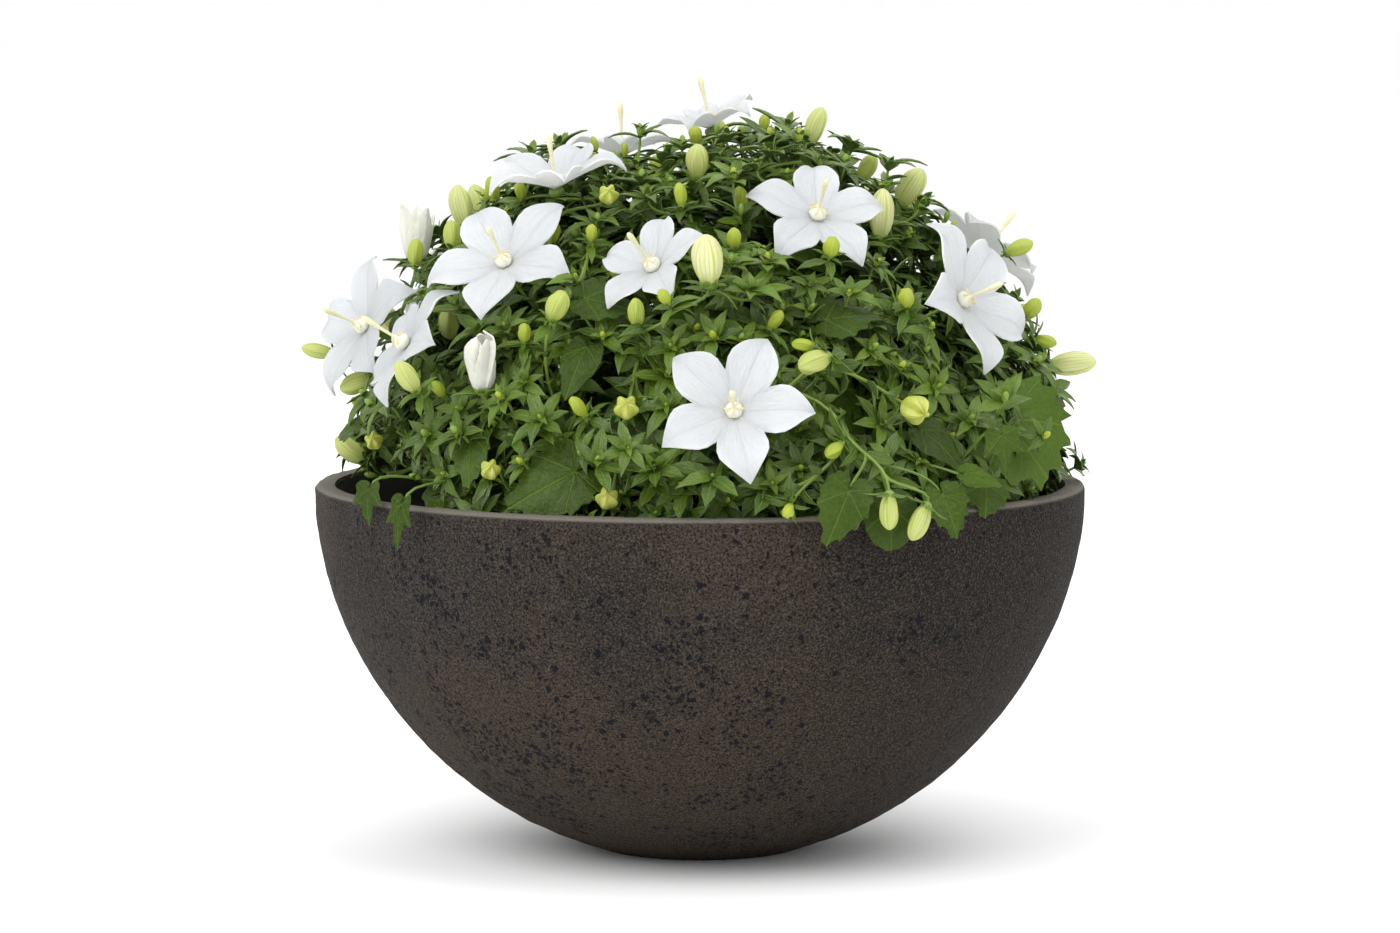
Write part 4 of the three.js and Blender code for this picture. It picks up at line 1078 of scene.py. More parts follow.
def stalk_line(stem, foot, arrival):
    """The points of a stalk to a foot, where it arrives along a way."""
    place, tangent = stalk_start(stem, foot)
    long = (foot - place).length
    return bezier([place, place + tangent * long * 0.3, foot - arrival * long * 0.35, foot], 7)


def list_broad_leaves():
    """The broad leaves low on the plant, and those in the shade under the dome."""
    leaves = []
    for kind, x, y, tip, faces, long, wide, level, tone in BROAD_LEAVES:
        face, way = direction(*faces), leaning(tip, 0)
        leaves.append((kind, from_picture(x, y, level), face, way, long, wide, tone))
    back = BACK_LEAVES
    for i in range(back["count"]):
        azimuth = back["from"] + (back["to"] - back["from"]) * (i + 0.5) / back["count"]
        middle = on_dome(azimuth, back["height"] + 12 * (i % 2), back["level"])
        long = back["long"] * varied(i, 9, 0.75, 0.3)
        way = direction(azimuth + swung(i, 8, 40), -50)
        wide = back["wide"] * long / back["long"]
        leaves.append(("heart", middle, direction(azimuth, 40), way, long, wide, BLADE_TONE))
    for i in range(INNER_LEAVES):
        azimuth, height = on_spiral(i, INNER_LEAVES, 0.02, 0.9, 70)
        middle = on_dome(azimuth, height, varied(i, 31, 0.66, 0.16))
        long = varied(i, 32, 20, 10)
        face = direction(azimuth + swung(i, 33, 50), min(85, height + 34 * drawn(i, 34)))
        way = direction(azimuth + swung(i, 35, 120), height - 70)
        wide = long * varied(i, 36, 0.6, 0.2)
        kind = "inner_heart" if i % 2 else "inner_oval"
        leaves.append((kind, middle, face, way, long, wide, BLADE_TONE))
    return leaves


def leaf_matrix(foot, way, face, long, wide):
    """The frame and size of a leaf along a way, with its upper side turned to face."""
    y = way.normalized()
    x = y.cross(face)
    if x.length < TINY:
        x = y.orthogonal()
    x.normalize()
    z = x.cross(y)
    basis = Matrix((x * wide, y * long, z * long)).transposed().to_4x4()
    return Matrix.Translation(foot) @ basis


def list_shields(heads):
    """What leaves may not stand in front of: triangles in the picture, each with its depth."""
    shields = []
    for head in heads:
        if head["in_view"] and head["kind"] == "flower":
            matrix, reach = head["matrix"], head["reach"] * 0.96
            rim = []
            for i in range(2 * PETALS):
                angle, out = math.pi * i / PETALS, reach * (0.5 if i % 2 else 1)
                rise = head["cup"] * out * (0.9 if i % 2 else 1)
                rim.append(matrix @ Vector((out * math.sin(angle), out * math.cos(angle), rise)))
            add_shield(shields, matrix.translation, rim)
        elif head["in_view"]:
            middle, along = head["middle"], head["axis"] * head["long"]
            side = head["axis"].cross(SIGHT).normalized() * head["wide"] * 0.42
            rim = [middle - along * 0.34, middle + side, middle + along * 0.45, middle - side]
            add_shield(shields, middle, rim)
    for _, x, y, tip, faces, long, wide, level, _ in BROAD_LEAVES[:LEAVES_IN_VIEW]:
        face, way = direction(*faces), leaning(tip, 0)
        matrix = leaf_matrix(from_picture(x, y, level), way - face * way.dot(face), face, long, wide)
        rim = [matrix @ Vector((across, along, 0)) for across, along in SHOWN_LEAF]
        add_shield(shields, matrix.translation, rim)
    for corners in OPENINGS:
        for i in range(1, len(corners) - 1):
            shields.append(([corners[0], corners[i], corners[i + 1]], OPENING_DEPTH))
    return shields


def add_shield(shields, middle, rim):
    """Adds the triangles of a fan from its middle to its rim."""
    x, y, depth = in_picture(np.array([middle, *rim]))
    for i in range(len(rim)):
        fan = (0, 1 + i, 1 + (i + 1) % len(rim))
        shields.append(([(x[k], y[k]) for k in fan], max(depth[k] for k in fan)))


def hidden_by(points, shields):
    """Which copies have a point in front of a shield."""
    x, y, depth = in_picture(points)
    hits = np.zeros(x.shape[0], bool)
    for corners, limit in shields:
        hits |= (in_triangle(x, y, corners) & (depth < limit)).any(axis=1)
    return hits


def clear_of_others(points, heads):
    """Which copies, of an array of copies by points, keep out of the bowl, soil, flowers and buds."""
    x, y, z = points[..., 0], points[..., 1], points[..., 2]
    radius = np.hypot(x, y)
    wall = (radius > INNER_RADIUS - 1) & (z < BOWL_HEIGHT + 0.6)
    outside = (z < SOIL_TOP + 1) | (radius > LEAF_OUT) | (z > LEAF_TOP)
    bad = (wall | outside).any(axis=1)
    for head in heads:
        if head["kind"] == "flower":
            inverse = np.array(head["matrix"].inverted())
            local = points @ inverse[:3, :3].T + inverse[:3, 3]
            out = np.hypot(local[..., 0], local[..., 1])
            over = local[..., 2] - head["cup"] * out * PETAL_LIFT
            bad |= ((out < head["reach"] * 1.02) & (over > -2.2) & (local[..., 2] < 24)).any(axis=1)
        elif head["kind"] != "rosette":
            local = points - np.array(head["foot"])
            axis = np.array(head["axis"])
            along = np.clip(local @ axis, 0.25 * head["long"], head["long"])
            off = np.linalg.norm(local - along[..., None] * axis, axis=2)
            bad |= (off < head["wide"] * 0.55).any(axis=1)
    return ~bad


def whorl(foot, axis, count, turn, long, wide, rise, order):
    """Leaf frames in a ring round an axis, each a little unlike the others."""
    frames = []
    upright = standing(foot, axis, turn=turn)
    for i in range(count):
        around = 2 * math.pi * (i + swung(order * 8 + i, 41, 0.3)) / count
        out = upright.to_3x3() @ Vector((math.cos(around), math.sin(around), 0))
        up = math.radians(rise + swung(order * 8 + i, 42, 26))
        size = long * varied(order * 8 + i, 43, 0.82, 0.36)
        way = out * math.cos(up) + axis * math.sin(up)
        frames.append(leaf_matrix(foot, way, axis, size, wide * size / long))
    return frames


# Materials

FAN_VEINS = 3.1  # veins that fan out over half of a broad leaf
STAR_TONE = 2.0  # the tone of a bud that opens as a star
STAR_SHARE = 0.72  # a bud wider than this share of its length opens as a star


class Finish:
    """A material in the making: nodes are added and joined by short calls."""

    def __init__(self, name):
        self.material = bpy.data.materials.new(name)
        self.material.use_nodes = True
        self.tree = self.material.node_tree
        self.tree.nodes.clear()

    def node(self, kind, values=None, **settings):
        """Adds a node. values are its inputs by name or number: a socket is linked, another is set."""
        node = self.tree.nodes.new(kind)
        for key, value in settings.items():
            setattr(node, key, value)
        for key, value in (values or {}).items():
            if isinstance(value, bpy.types.NodeSocket):
                self.tree.links.new(value, node.inputs[key])
            else:
                node.inputs[key].default_value = value
        return node

    def math(self, operation, a, b=0.0):
        return self.node("ShaderNodeMath", {0: a, 1: b}, operation=operation).outputs[0]

    def plus(self, a, b):
        return self.math("ADD", a, b)

    def minus(self, a, b):
        return self.math("SUBTRACT", a, b)

    def times(self, a, b):
        return self.math("MULTIPLY", a, b)

    def mix(self, factor, a, b):
        """A colour from a, at factor 0, to b, at factor 1."""
        return self.node("ShaderNodeMix", {0: factor, 6: a, 7: b}, data_type="RGBA").outputs[2]

    def tint(self, base, mask, share, values):
        """A base colour that takes on a share of another one where a mask is 1."""
        return self.mix(self.times(mask, share), base, colour(values))

    def band(self, value, low, high):
        """A value eased from 0 at low to 1 at high."""
        node = self.node("ShaderNodeMapRange", {"Value": value, "From Min": low, "From Max": high})
        node.interpolation_type = "SMOOTHSTEP"
        return node.outputs["Result"]

    def position(self):
        """Where a point of the piece is, in metres."""
        return self.node("ShaderNodeTexCoord").outputs["Object"]

    def noise(self, coordinates, scale, detail, roughness):
        """Clouds from 0 to 1. The scale is about how many there are in a unit of the coordinates."""
        values = {"Vector": coordinates, "Scale": scale, "Detail": detail, "Roughness": roughness}
        return self.node("ShaderNodeTexNoise", values).outputs["Fac"]

    def cells(self, coordinates, scale, feature="F1"):
        """How far it is to the nearest cell's middle, or to its edge."""
        values = {"Vector": coordinates, "Scale": scale}
        return self.node("ShaderNodeTexVoronoi", values, feature=feature).outputs["Distance"]

    def specks(self, coordinates, scale, share, size):
        """Small ragged spots, in a share of the cells of a pattern."""
        ragged = self.minus(self.noise(coordinates, scale * 2.4, 3, 0.6), 0.5)
        node = self.node("ShaderNodeTexVoronoi", {"Vector": coordinates, "Scale": scale})
        draw = self.node("ShaderNodeSeparateColor", {0: node.outputs["Color"]}).outputs[0]
        near = self.plus(node.outputs["Distance"], self.times(ragged, 1.3))
        spot = self.band(near, size + 0.05, size - 0.05)
        return self.times(spot, self.math("GREATER_THAN", share, draw))

    def place(self):
        """The surface place: across, along, tone, and 1 on the upper side or 0 on the lower."""
        attribute = self.node("ShaderNodeAttribute", attribute_name="place")
        parts = self.node("ShaderNodeSeparateXYZ", {0: attribute.outputs["Vector"]})
        return parts.outputs[0], parts.outputs[1], parts.outputs[2], attribute.outputs["Alpha"]

    def bump(self, height, strength, distance):
        """The normal of a surface with a relief. distance is its depth in metres."""
        values = {"Strength": strength, "Distance": distance, "Height": height}
        return self.node("ShaderNodeBump", values).outputs["Normal"]

    def surface(self, glow=0.0, glow_colour=(1, 1, 1, 1), **values):
        """Ends the material in its shader. glow is the share of light that passes through."""
        inputs = {name.replace("_", " "): value for name, value in values.items()}
        shader = self.node("ShaderNodeBsdfPrincipled", inputs)
        out = shader.outputs[0]
        if glow:
            through = self.node("ShaderNodeBsdfTranslucent", {"Color": glow_colour})
            out = self.node("ShaderNodeMixShader", {0: glow, 1: out, 2: through.outputs[0]}).outputs[0]
        self.node("ShaderNodeOutputMaterial", {"Surface": out})
        return self.material


def colour(values):
    """A colour with full opacity."""
    return (*values, 1.0)


def stone_finish(c):
    """Cast stone: a coarse grain, ragged blue-black flecks in clusters, rusty patches, a paler rim, and
    painted shade that darkens the right side of the bowl.
    """
    f = Finish("cast_stone")
    at = f.position()
    parts = f.node("ShaderNodeSeparateXYZ", {0: at})
    x, z = parts.outputs[0], parts.outputs[2]
    grain = f.noise(at, 1750, 2, 0.55)
    pores = f.noise(at, 1050, 2, 0.5)
    clouds = f.noise(at, 22, 4, 0.6)
    tone = f.mix(f.band(clouds, 0.38, 0.64), colour(c.stone_dark), colour(c.stone))
    low = f.times(f.band(z, 0.08, 0.01), 0.3)
    rust = f.plus(f.noise(at, 15, 3, 0.6), low)
    tone = f.tint(tone, f.band(rust, 0.46, 0.66), 0.8, c.stone_brown)
    # Painted shade: the bowl darkens towards its right side, away from the key lamp.
    tone = f.tint(tone, f.band(x, -0.02, 0.1), 0.75, c.stone_painted_shade)
    tone = f.tint(tone, f.band(grain, 0.5, 0.66), 0.5, c.stone_light)
    tone = f.tint(tone, f.band(grain, 0.47, 0.37), 0.75, c.stone_pit)
    gather = f.minus(f.noise(at, 34, 4, 0.7), f.times(x, 0.8))
    gather = f.minus(gather, f.times(f.band(z, 0.07, 0.1), 0.12))
    share = f.plus(f.times(f.band(gather, 0.48, 0.62), 0.7), 0.04)
    fleck = f.math("MAXIMUM", f.specks(at, 330, share, 0.3), f.specks(at, 620, share, 0.34))
    tone = f.tint(tone, fleck, 0.92, c.stone_fleck)
    rim = f.band(z, (BOWL_HEIGHT - 1.5) * MM, (BOWL_HEIGHT - 0.7) * MM)
    rim_tone = f.tint(colour(c.rim), f.band(grain, 0.4, 0.65), 0.45, c.stone_light)
    tone = f.mix(f.times(rim, 0.9), tone, rim_tone)
    relief = f.plus(f.times(grain, 0.6), pores)
    relief = f.minus(relief, f.times(fleck, 0.2))
    relief = f.times(relief, f.minus(1.0, f.times(rim, 0.75)))
    normal = f.bump(relief, 1.0, 0.0016)
    return f.surface(Base_Color=tone, Roughness=0.75, Specular_IOR_Level=0.1, Normal=normal)


def inside_finish(c):
    """The bowl's inside: a charcoal made paler as painted light where the leaves shade the wall, with a fine
    grain and faint tide marks.
    """
    f = Finish("bowl_inside")
    at = f.position()
    grain = f.noise(at, 700, 4, 0.6)
    marks = f.noise(at, 40, 3, 0.6)
    # The pale inside colour is painted light against the shade of the leaves; the marks bring back the
    # darker stone.
    tone = f.mix(f.band(marks, 0.4, 0.7), colour(c.stone_inside_painted_light), colour(c.stone))
    tone = f.tint(tone, f.band(grain, 0.5, 0.75), 0.4, c.stone)
    return f.surface(Base_Color=tone, Roughness=0.85, Normal=f.bump(grain, 0.5, 0.0005))


def soil_finish(c):
    """Crumbly potting soil with paler fibres."""
    f = Finish("potting_soil")
    at = f.position()
    crumbs = f.noise(at, 260, 5, 0.65)
    fibres = f.band(f.cells(at, 420), 0.22, 0.08)
    tone = f.mix(f.band(crumbs, 0.35, 0.7), colour(c.soil_dark), colour(c.soil))
    tone = f.tint(tone, fibres, 0.4, c.soil_fibre)
    return f.surface(Base_Color=tone, Roughness=0.95, Normal=f.bump(crumbs, 0.9, 0.0012))


def petal_finish(c, name, shade, glow):
    """White petals with fine lengthwise veins, a crease along the middle and a paper-like wrinkle, a throat
    made paler by painted light, and painted shade on some flowers.
    """
    f = Finish(name)
    across, along, tone, upper = f.place()
    spread = f.math("DIVIDE", f.times(across, 9.0), f.plus(0.35, along))
    wander = f.times(f.noise(f.position(), 160, 2, 0.5), 1.6)
    wave = f.math("SINE", f.times(f.plus(spread, wander), 3.2))
    vein = f.times(f.band(wave, 0.72, 1.0), f.band(along, 1.0, 0.35))
    middle = f.band(f.math("ABSOLUTE", across), 0.07, 0.0)
    # Painted light: the throat is made paler to lift the shade in the cup.
    base = f.tint(colour(shade), f.band(along, 0.34, 0.0), 0.5, c.petal_heart_painted_light)
    base = f.tint(base, vein, 0.2, c.petal_vein_and_painted_shade)
    base = f.tint(base, middle, 0.24, c.petal_vein_and_painted_shade)
    # The tone greys a petal: a small random tone on most flowers, and painted shade on the flowers listed as
    # shaded.
    base = f.tint(base, tone, 0.6, c.petal_vein_and_painted_shade)
    base = f.mix(f.minus(1.0, upper), base, colour(c.petal_under))
    paper = f.noise(f.position(), 700, 3, 0.5)
    base = f.tint(base, f.band(paper, 0.5, 0.62), 0.16, c.petal_vein_and_painted_shade)
    stretched = {0: f.times(across, 7.0), 1: f.times(along, 2.5), 2: tone}
    wrinkle = f.noise(f.node("ShaderNodeCombineXYZ", stretched).outputs[0], 1.6, 4, 0.55)
    base = f.tint(base, f.band(wrinkle, 0.48, 0.62), 0.3, c.petal_vein_and_painted_shade)
    height = f.minus(f.times(paper, 0.3), f.times(vein, 0.5))
    height = f.plus(height, f.times(wrinkle, 2.5))
    height = f.minus(height, f.times(middle, 0.6))
    return f.surface(
        glow=glow,
        glow_colour=colour(c.petal_glow),
        Base_Color=base,
        Roughness=0.5,
        Specular_IOR_Level=0.35,
        Normal=f.bump(height, 0.5, 0.0005),
    )


def leaf_finish(c, name, dark, light, broad):
    """Green leaves with paler veins and underside; their tone holds painted shade, and the paler margins of
    narrow ones are partly a painted highlight. Broad ones have veins that fan out from the joint.
    """
    f = Finish(name)
    across, along, tone, upper = f.place()
    side = f.math("ABSOLUTE", across)
    at = f.position()
    mottle = f.noise(at, 300, 3, 0.55)
    patches = f.noise(at, 70, 2, 0.5)
    # The tone holds random variation and also painted shade, for leaves deep or low and for broad leaves
    # read off as in shade.
    level = f.plus(f.times(tone, 0.8), f.times(mottle, 0.2))
    level = f.plus(level, f.times(f.minus(patches, 0.38), 0.6))
    base = f.mix(f.band(level, 0.1, 1.05), colour(dark), colour(light))
    wander = f.times(f.noise(at, 220, 2, 0.5), 0.5)
    if broad:
        fan = f.math("PINGPONG", side, 0.5 / FAN_VEINS)
        off = f.times(fan, along)
        rib = f.band(off, 0.011, 0.003)
        slant = f.plus(f.minus(f.times(along, 6.0), f.times(off, 26.0)), wander)
        net = f.band(f.cells(at, 520, "DISTANCE_TO_EDGE"), 0.07, 0.0)
        pale_rim_and_highlight_share, vein_share, rib_share, gloss = 0.0, 0.14, 0.24, 0.18
    else:
        rib = f.band(side, 0.16, 0.04)
        slant = f.plus(f.times(along, 5.0), f.minus(wander, f.times(side, 2.0)))
        net = f.band(mottle, 0.5, 0.75)
        pale_rim_and_highlight_share, vein_share, rib_share, gloss = 0.4, 0.2, 0.55, 0.5
    stripe = f.math("COSINE", f.times(slant, 2 * math.pi))
    vein = f.band(stripe, 0.9, 1.0)
    base = f.tint(base, net, 0.13, c.leaf_vein)
    base = f.tint(base, vein, vein_share, c.leaf_vein)
    base = f.tint(base, rib, rib_share, c.leaf_vein)
    # Paler margins on the narrow leaves: partly their own pale rim, partly a painted highlight along the
    # edge.
    base = f.tint(base, f.band(side, 0.8, 1.0), pale_rim_and_highlight_share, c.leaf_vein)
    under = f.mix(0.45, base, colour(c.leaf_under))
    base = f.mix(upper, under, base)
    crinkle = f.cells(at, 900)
    height = f.plus(f.times(vein, -0.5), f.times(rib, -1.0))
    height = f.plus(height, f.times(f.plus(mottle, crinkle), 0.6))
    return f.surface(
        glow=0.18,
        glow_colour=colour(c.leaf_glow),
        Base_Color=base,
        Roughness=0.38,
        Specular_IOR_Level=gloss,
        Normal=f.bump(height, 0.6, 0.0004),
    )


def stalk_finish(c):
    """Fresh green stalks with faint lengthwise ridges."""
    f = Finish("green_stalk")
    across, _, tone, _ = f.place()
    ridge = f.math("SINE", f.times(across, 28.0))
    mottle = f.noise(f.position(), 240, 3, 0.5)
    level = f.plus(f.times(tone, 0.6), f.times(mottle, 0.5))
    base = f.mix(f.band(level, 0.1, 1.0), colour(c.stalk_dark), colour(c.stalk))
    normal = f.bump(f.plus(ridge, mottle), 0.25, 0.0002)
    return f.surface(Base_Color=base, Roughness=0.5, Normal=normal)


def bud_finish(c):
    """Buds from yellow-green, at tone 0, to cream, with a rib on each petal and fine lines between them."""
    f = Finish("bud_skin")
    around, along, level, _ = f.place()
    tone = f.math("MINIMUM", level, 1.0)
    angle = f.times(around, math.pi)
    ribs = f.band(f.math("COSINE", f.times(angle, PETALS)), 0.82, 1.0)
    lines = f.band(f.math("COSINE", f.times(angle, 4 * PETALS)), 0.55, 1.0)
    mottle = f.noise(f.position(), 420, 3, 0.5)
    skin = f.mix(tone, colour(c.bud_young), colour(c.bud))
    line = f.mix(tone, colour(c.bud_young_rib), colour(c.bud_rib))
    base = f.mix(f.times(f.band(along, 0.42, 0.0), 0.5), skin, line)
    base = f.mix(f.times(ribs, 0.8), base, line)
    base = f.mix(f.times(lines, 0.62), base, line)
    base = f.mix(f.times(f.band(mottle, 0.5, 0.75), 0.15), base, line)
    star = f.mix(f.band(mottle, 0.35, 0.7), colour(c.star), colour(c.star_shade))
    base = f.mix(f.band(level, 1.4, 1.8), base, star)
    height = f.minus(f.times(mottle, 0.3), f.times(lines, 0.5))
    return f.surface(
        glow=0.3,
        glow_colour=colour(c.bud_glow),
        Base_Color=base,
        Roughness=0.48,
        Normal=f.bump(height, 0.35, 0.0003),
    )


def pistil_finish(name, tone, shade, foot):
    """The cream style, or the yellow stamens, with a powdery grain and another tint at the foot."""
    f = Finish(name)
    _, along, _, _ = f.place()
    powder = f.noise(f.position(), 1800, 3, 0.6)
    base = f.mix(f.band(powder, 0.4, 0.7), colour(tone), colour(shade))
    base = f.mix(f.band(along, 4.5, 2.5), base, colour(foot))
    normal = f.bump(powder, 0.5, 0.0002)
    return f.surface(glow=0.2, glow_colour=colour(tone), Base_Color=base, Roughness=0.6, Normal=normal)


# Settings


class BellflowerSizes(bpy.types.PropertyGroup):
    """Sizes that a user would change. Lengths are in millimetres where no unit shows."""

    leaf_length: FloatProperty(
        name="Leaf Length", description="Length of a narrow leaf, in mm", default=7.8, min=4, max=30
    )
    leaf_width: FloatProperty(
        name="Leaf Width", description="Width of a narrow leaf, in mm", default=2.9, min=1, max=12
    )
    leaf_spacing: FloatProperty(
        name="Leaf Spacing", description="Distance between leaves along a stalk, in mm", default=3.4, min=2
    )
    rosette_leaves: IntProperty(
        name="Rosette Leaves", description="Leaves in the ring of a rosette", default=7, min=3, max=12
    )
    bowl_sides: IntProperty(
        name="Bowl Sides", description="Sides of the bowl's turned rings", default=200, min=24, max=360
    )
    grain: FloatProperty(
        name="Stone Grain",
        description="Depth of the relief in the stone",
        default=0.0003,
        subtype="DISTANCE",
        unit="LENGTH",
    )


def colour_property(name, description, default):
    return FloatVectorProperty(
        name=name, description=description, default=default, subtype="COLOR", min=0, max=1
    )


class BellflowerColours(bpy.types.PropertyGroup):
    """Colours of the stone, soil, petals, leaves, stalks, buds and pistils."""

    stone: colour_property("Stone", "Main colour of the bowl", (0.037, 0.0312, 0.0275))
    stone_dark: colour_property("Dark Stone", "Darker clouds in the stone", (0.027, 0.0225, 0.0195))
    # Painted shade on the right side of the bowl, away from the key lamp.
    stone_painted_shade: colour_property("Shaded Stone", "The darker side of the bowl", (0.0125, 0.0098, 0.0082))
    stone_brown: colour_property("Brown Stone", "Rusty patches in the stone", (0.055, 0.0405, 0.029))
    stone_light: colour_property("Light Grains", "Pale grains in the stone", (0.116, 0.096, 0.081))
    stone_pit: colour_property("Pits", "Blue-black pits of the stone", (0.005, 0.0045, 0.0045))
    stone_fleck: colour_property("Flecks", "Blue-black flecks", (0.0045, 0.0065, 0.0115))
    # Painted light: the inside is paler than the stone to make up for the shade of the leaves on it.
    stone_inside_painted_light: colour_property("Inside", "Charcoal inside of the wall", (0.1, 0.09, 0.095))
    rim: colour_property("Rim", "Paler smooth rim", (0.15, 0.14, 0.114))
    soil: colour_property("Soil", "Main colour of the soil", (0.05, 0.033, 0.022))
    soil_dark: colour_property("Dark Soil", "Moist soil", (0.016, 0.011, 0.008))
    soil_fibre: colour_property("Fibres", "Paler fibres in the soil", (0.16, 0.11, 0.07))
    petal: colour_property("Petal", "White of the petals", (0.845, 0.865, 0.925))
    petal_cream: colour_property("Folded Petal", "Cream of petals about to open", (0.9, 0.875, 0.69))
    petal_under: colour_property("Petal Underside", "Creamy outside of the petals", (0.84, 0.83, 0.74))
    petal_glow: colour_property("Petal Glow", "Light through a petal", (0.94, 0.945, 0.95))
    # Painted light at the throat, paler than the petal, against the shade in the cup.
    petal_heart_painted_light: colour_property("Heart", "Greenish tint at the throat", (0.95, 0.96, 0.92))
    # The grey of the veins, and also the painted shade that the shaded flowers take on.
    petal_vein_and_painted_shade: colour_property("Petal Veins", "Grey of the veins", (0.66, 0.685, 0.74))
    leaf: colour_property("Leaf", "Light leaves", (0.14, 0.235, 0.014))
    # Dark leaves, and the painted shade of those deep under the dome or low down.
    leaf_dark_and_painted_shade: colour_property("Dark Leaf", "Dark leaves", (0.033, 0.073, 0.006))
    broad: colour_property("Broad Leaf", "Light broad leaves", (0.068, 0.122, 0.011))
    # Dark broad leaves, and the painted shade of those that lie in shade.
    broad_dark_and_painted_shade: colour_property("Dark Broad Leaf", "Dark broad leaves", (0.026, 0.052, 0.004))
    leaf_vein: colour_property("Leaf Veins", "Midrib and veins", (0.19, 0.3, 0.045))
    leaf_under: colour_property("Leaf Underside", "Paler underside", (0.14, 0.21, 0.075))
    leaf_glow: colour_property("Leaf Glow", "Light through a leaf", (0.2, 0.36, 0.02))
    stalk: colour_property("Stalk", "Light stalks", (0.19, 0.3, 0.035))
    stalk_dark: colour_property("Dark Stalk", "Dark stalks", (0.07, 0.13, 0.015))
    bud: colour_property("Bud", "Cream buds", (0.76, 0.76, 0.48))
    bud_glow: colour_property("Bud Glow", "Light through a bud", (0.9, 0.93, 0.38))
    bud_rib: colour_property("Bud Ribs", "Ribs of a cream bud", (0.47, 0.55, 0.11))
    bud_young: colour_property("Young Bud", "Yellow-green buds", (0.41, 0.5, 0.045))
    bud_young_rib: colour_property("Young Ribs", "Ribs of a young bud", (0.26, 0.36, 0.028))
    star: colour_property("Star", "Buds that open as a star", (0.6, 0.62, 0.16))
    star_shade: colour_property("Star Shade", "Greener parts of those", (0.42, 0.5, 0.07))
    style: colour_property("Style", "Cream style", (0.82, 0.8, 0.56))
    style_shade: colour_property("Style Shade", "Greener parts of the style", (0.74, 0.74, 0.44))
    ovary: colour_property("Ovary", "Greenish white at the foot of the style", (0.86, 0.87, 0.74))
    stamen: colour_property("Stamen", "Yellow stamens", (0.8, 0.7, 0.38))
    pollen: colour_property("Pollen", "Pollen and powder", (0.8, 0.62, 0.3))
    floor: colour_property("Floor", "Pale floor", (0.96, 0.96, 0.96))


# Operators


class BELLFLOWER_OT_stage(bpy.types.Operator):
    """Adds the pale floor, the soft lights and the camera"""

    bl_idname = "bellflower.stage"
    bl_label = "Stage"

    def execute(self, context):
        colours = context.scene.bellflower_colours
        floor = start_form(
            "floor",
            bpy.ops.mesh.primitive_circle_add,
            vertices=64,
            radius=FLOOR_RADIUS,
            fill_type="NGON",
        )
        finish = Finish("floor_paint")
        wash = finish.noise(finish.position(), 3, 2, 0.5)
        pale = finish.mix(wash, colour(colours.floor), colour([v * FLOOR_SHADE for v in colours.floor]))
        floor.data.materials.append(finish.surface(Base_Color=pale, Roughness=0.9))
        self.light(context)
        self.look(context)
        return {"FINISHED"}

    def look(self, context):
        """Puts the camera where the picture was taken from."""
        data = bpy.data.cameras.new("view")
        data.sensor_width = SENSOR
        data.lens = SENSOR * VIEW_DISTANCE / PIXEL / PICTURE_WIDTH
        data.clip_start, data.clip_end = VIEW_LIMITS
        camera = bpy.data.objects.new("view", data)
        camera.location = EYE * MM
        camera.rotation_euler = (math.radians(90 - VIEW_TILT), 0, 0)
        context.scene.collection.objects.link(camera)
        context.scene.camera = camera

    def light(self, context):
        """Adds white light from all round, three soft lamps, and the exposure."""
        world = bpy.data.worlds.new("studio")
        world.use_nodes = True
        background = world.node_tree.nodes["Background"]
        background.inputs["Color"].default_value = (1, 1, 1, 1)
        background.inputs["Strength"].default_value = WORLD_LIGHT
        context.scene.world = world
        for lamp in LAMPS:
            data = bpy.data.lights.new(lamp["name"], "AREA")
            data.size, data.energy = lamp["size"], lamp["watts"]
            obj = bpy.data.objects.new(lamp["name"], data)
            obj.location = lamp["place"]
            aim = LAMPS_AIM - Vector(lamp["place"])
            obj.rotation_euler = aim.to_track_quat("-Z", "Y").to_euler()
            context.scene.collection.objects.link(obj)
        context.scene.view_settings.view_transform = "Standard"
        context.scene.view_settings.exposure = EXPOSURE


def wall_radius(z, inset, floor):
    """The wall's radius at a height, on a curve that is inset from the outside."""
    drop = max(0, (BOWL_WIDEST - z) / (BOWL_DEPTH - floor))
    return (BOWL_RADIUS - inset) * math.sqrt(max(0, 1 - drop**BOWL_BEND))


def roughen(obj, name, scale, **settings):
    """Gives a form a relief of clouds, whose size is in mm."""
    clouds = bpy.data.textures.new(name, "CLOUDS")
    clouds.noise_scale = scale
    modify(obj, "DISPLACE", texture=clouds, texture_coords="LOCAL", **settings)


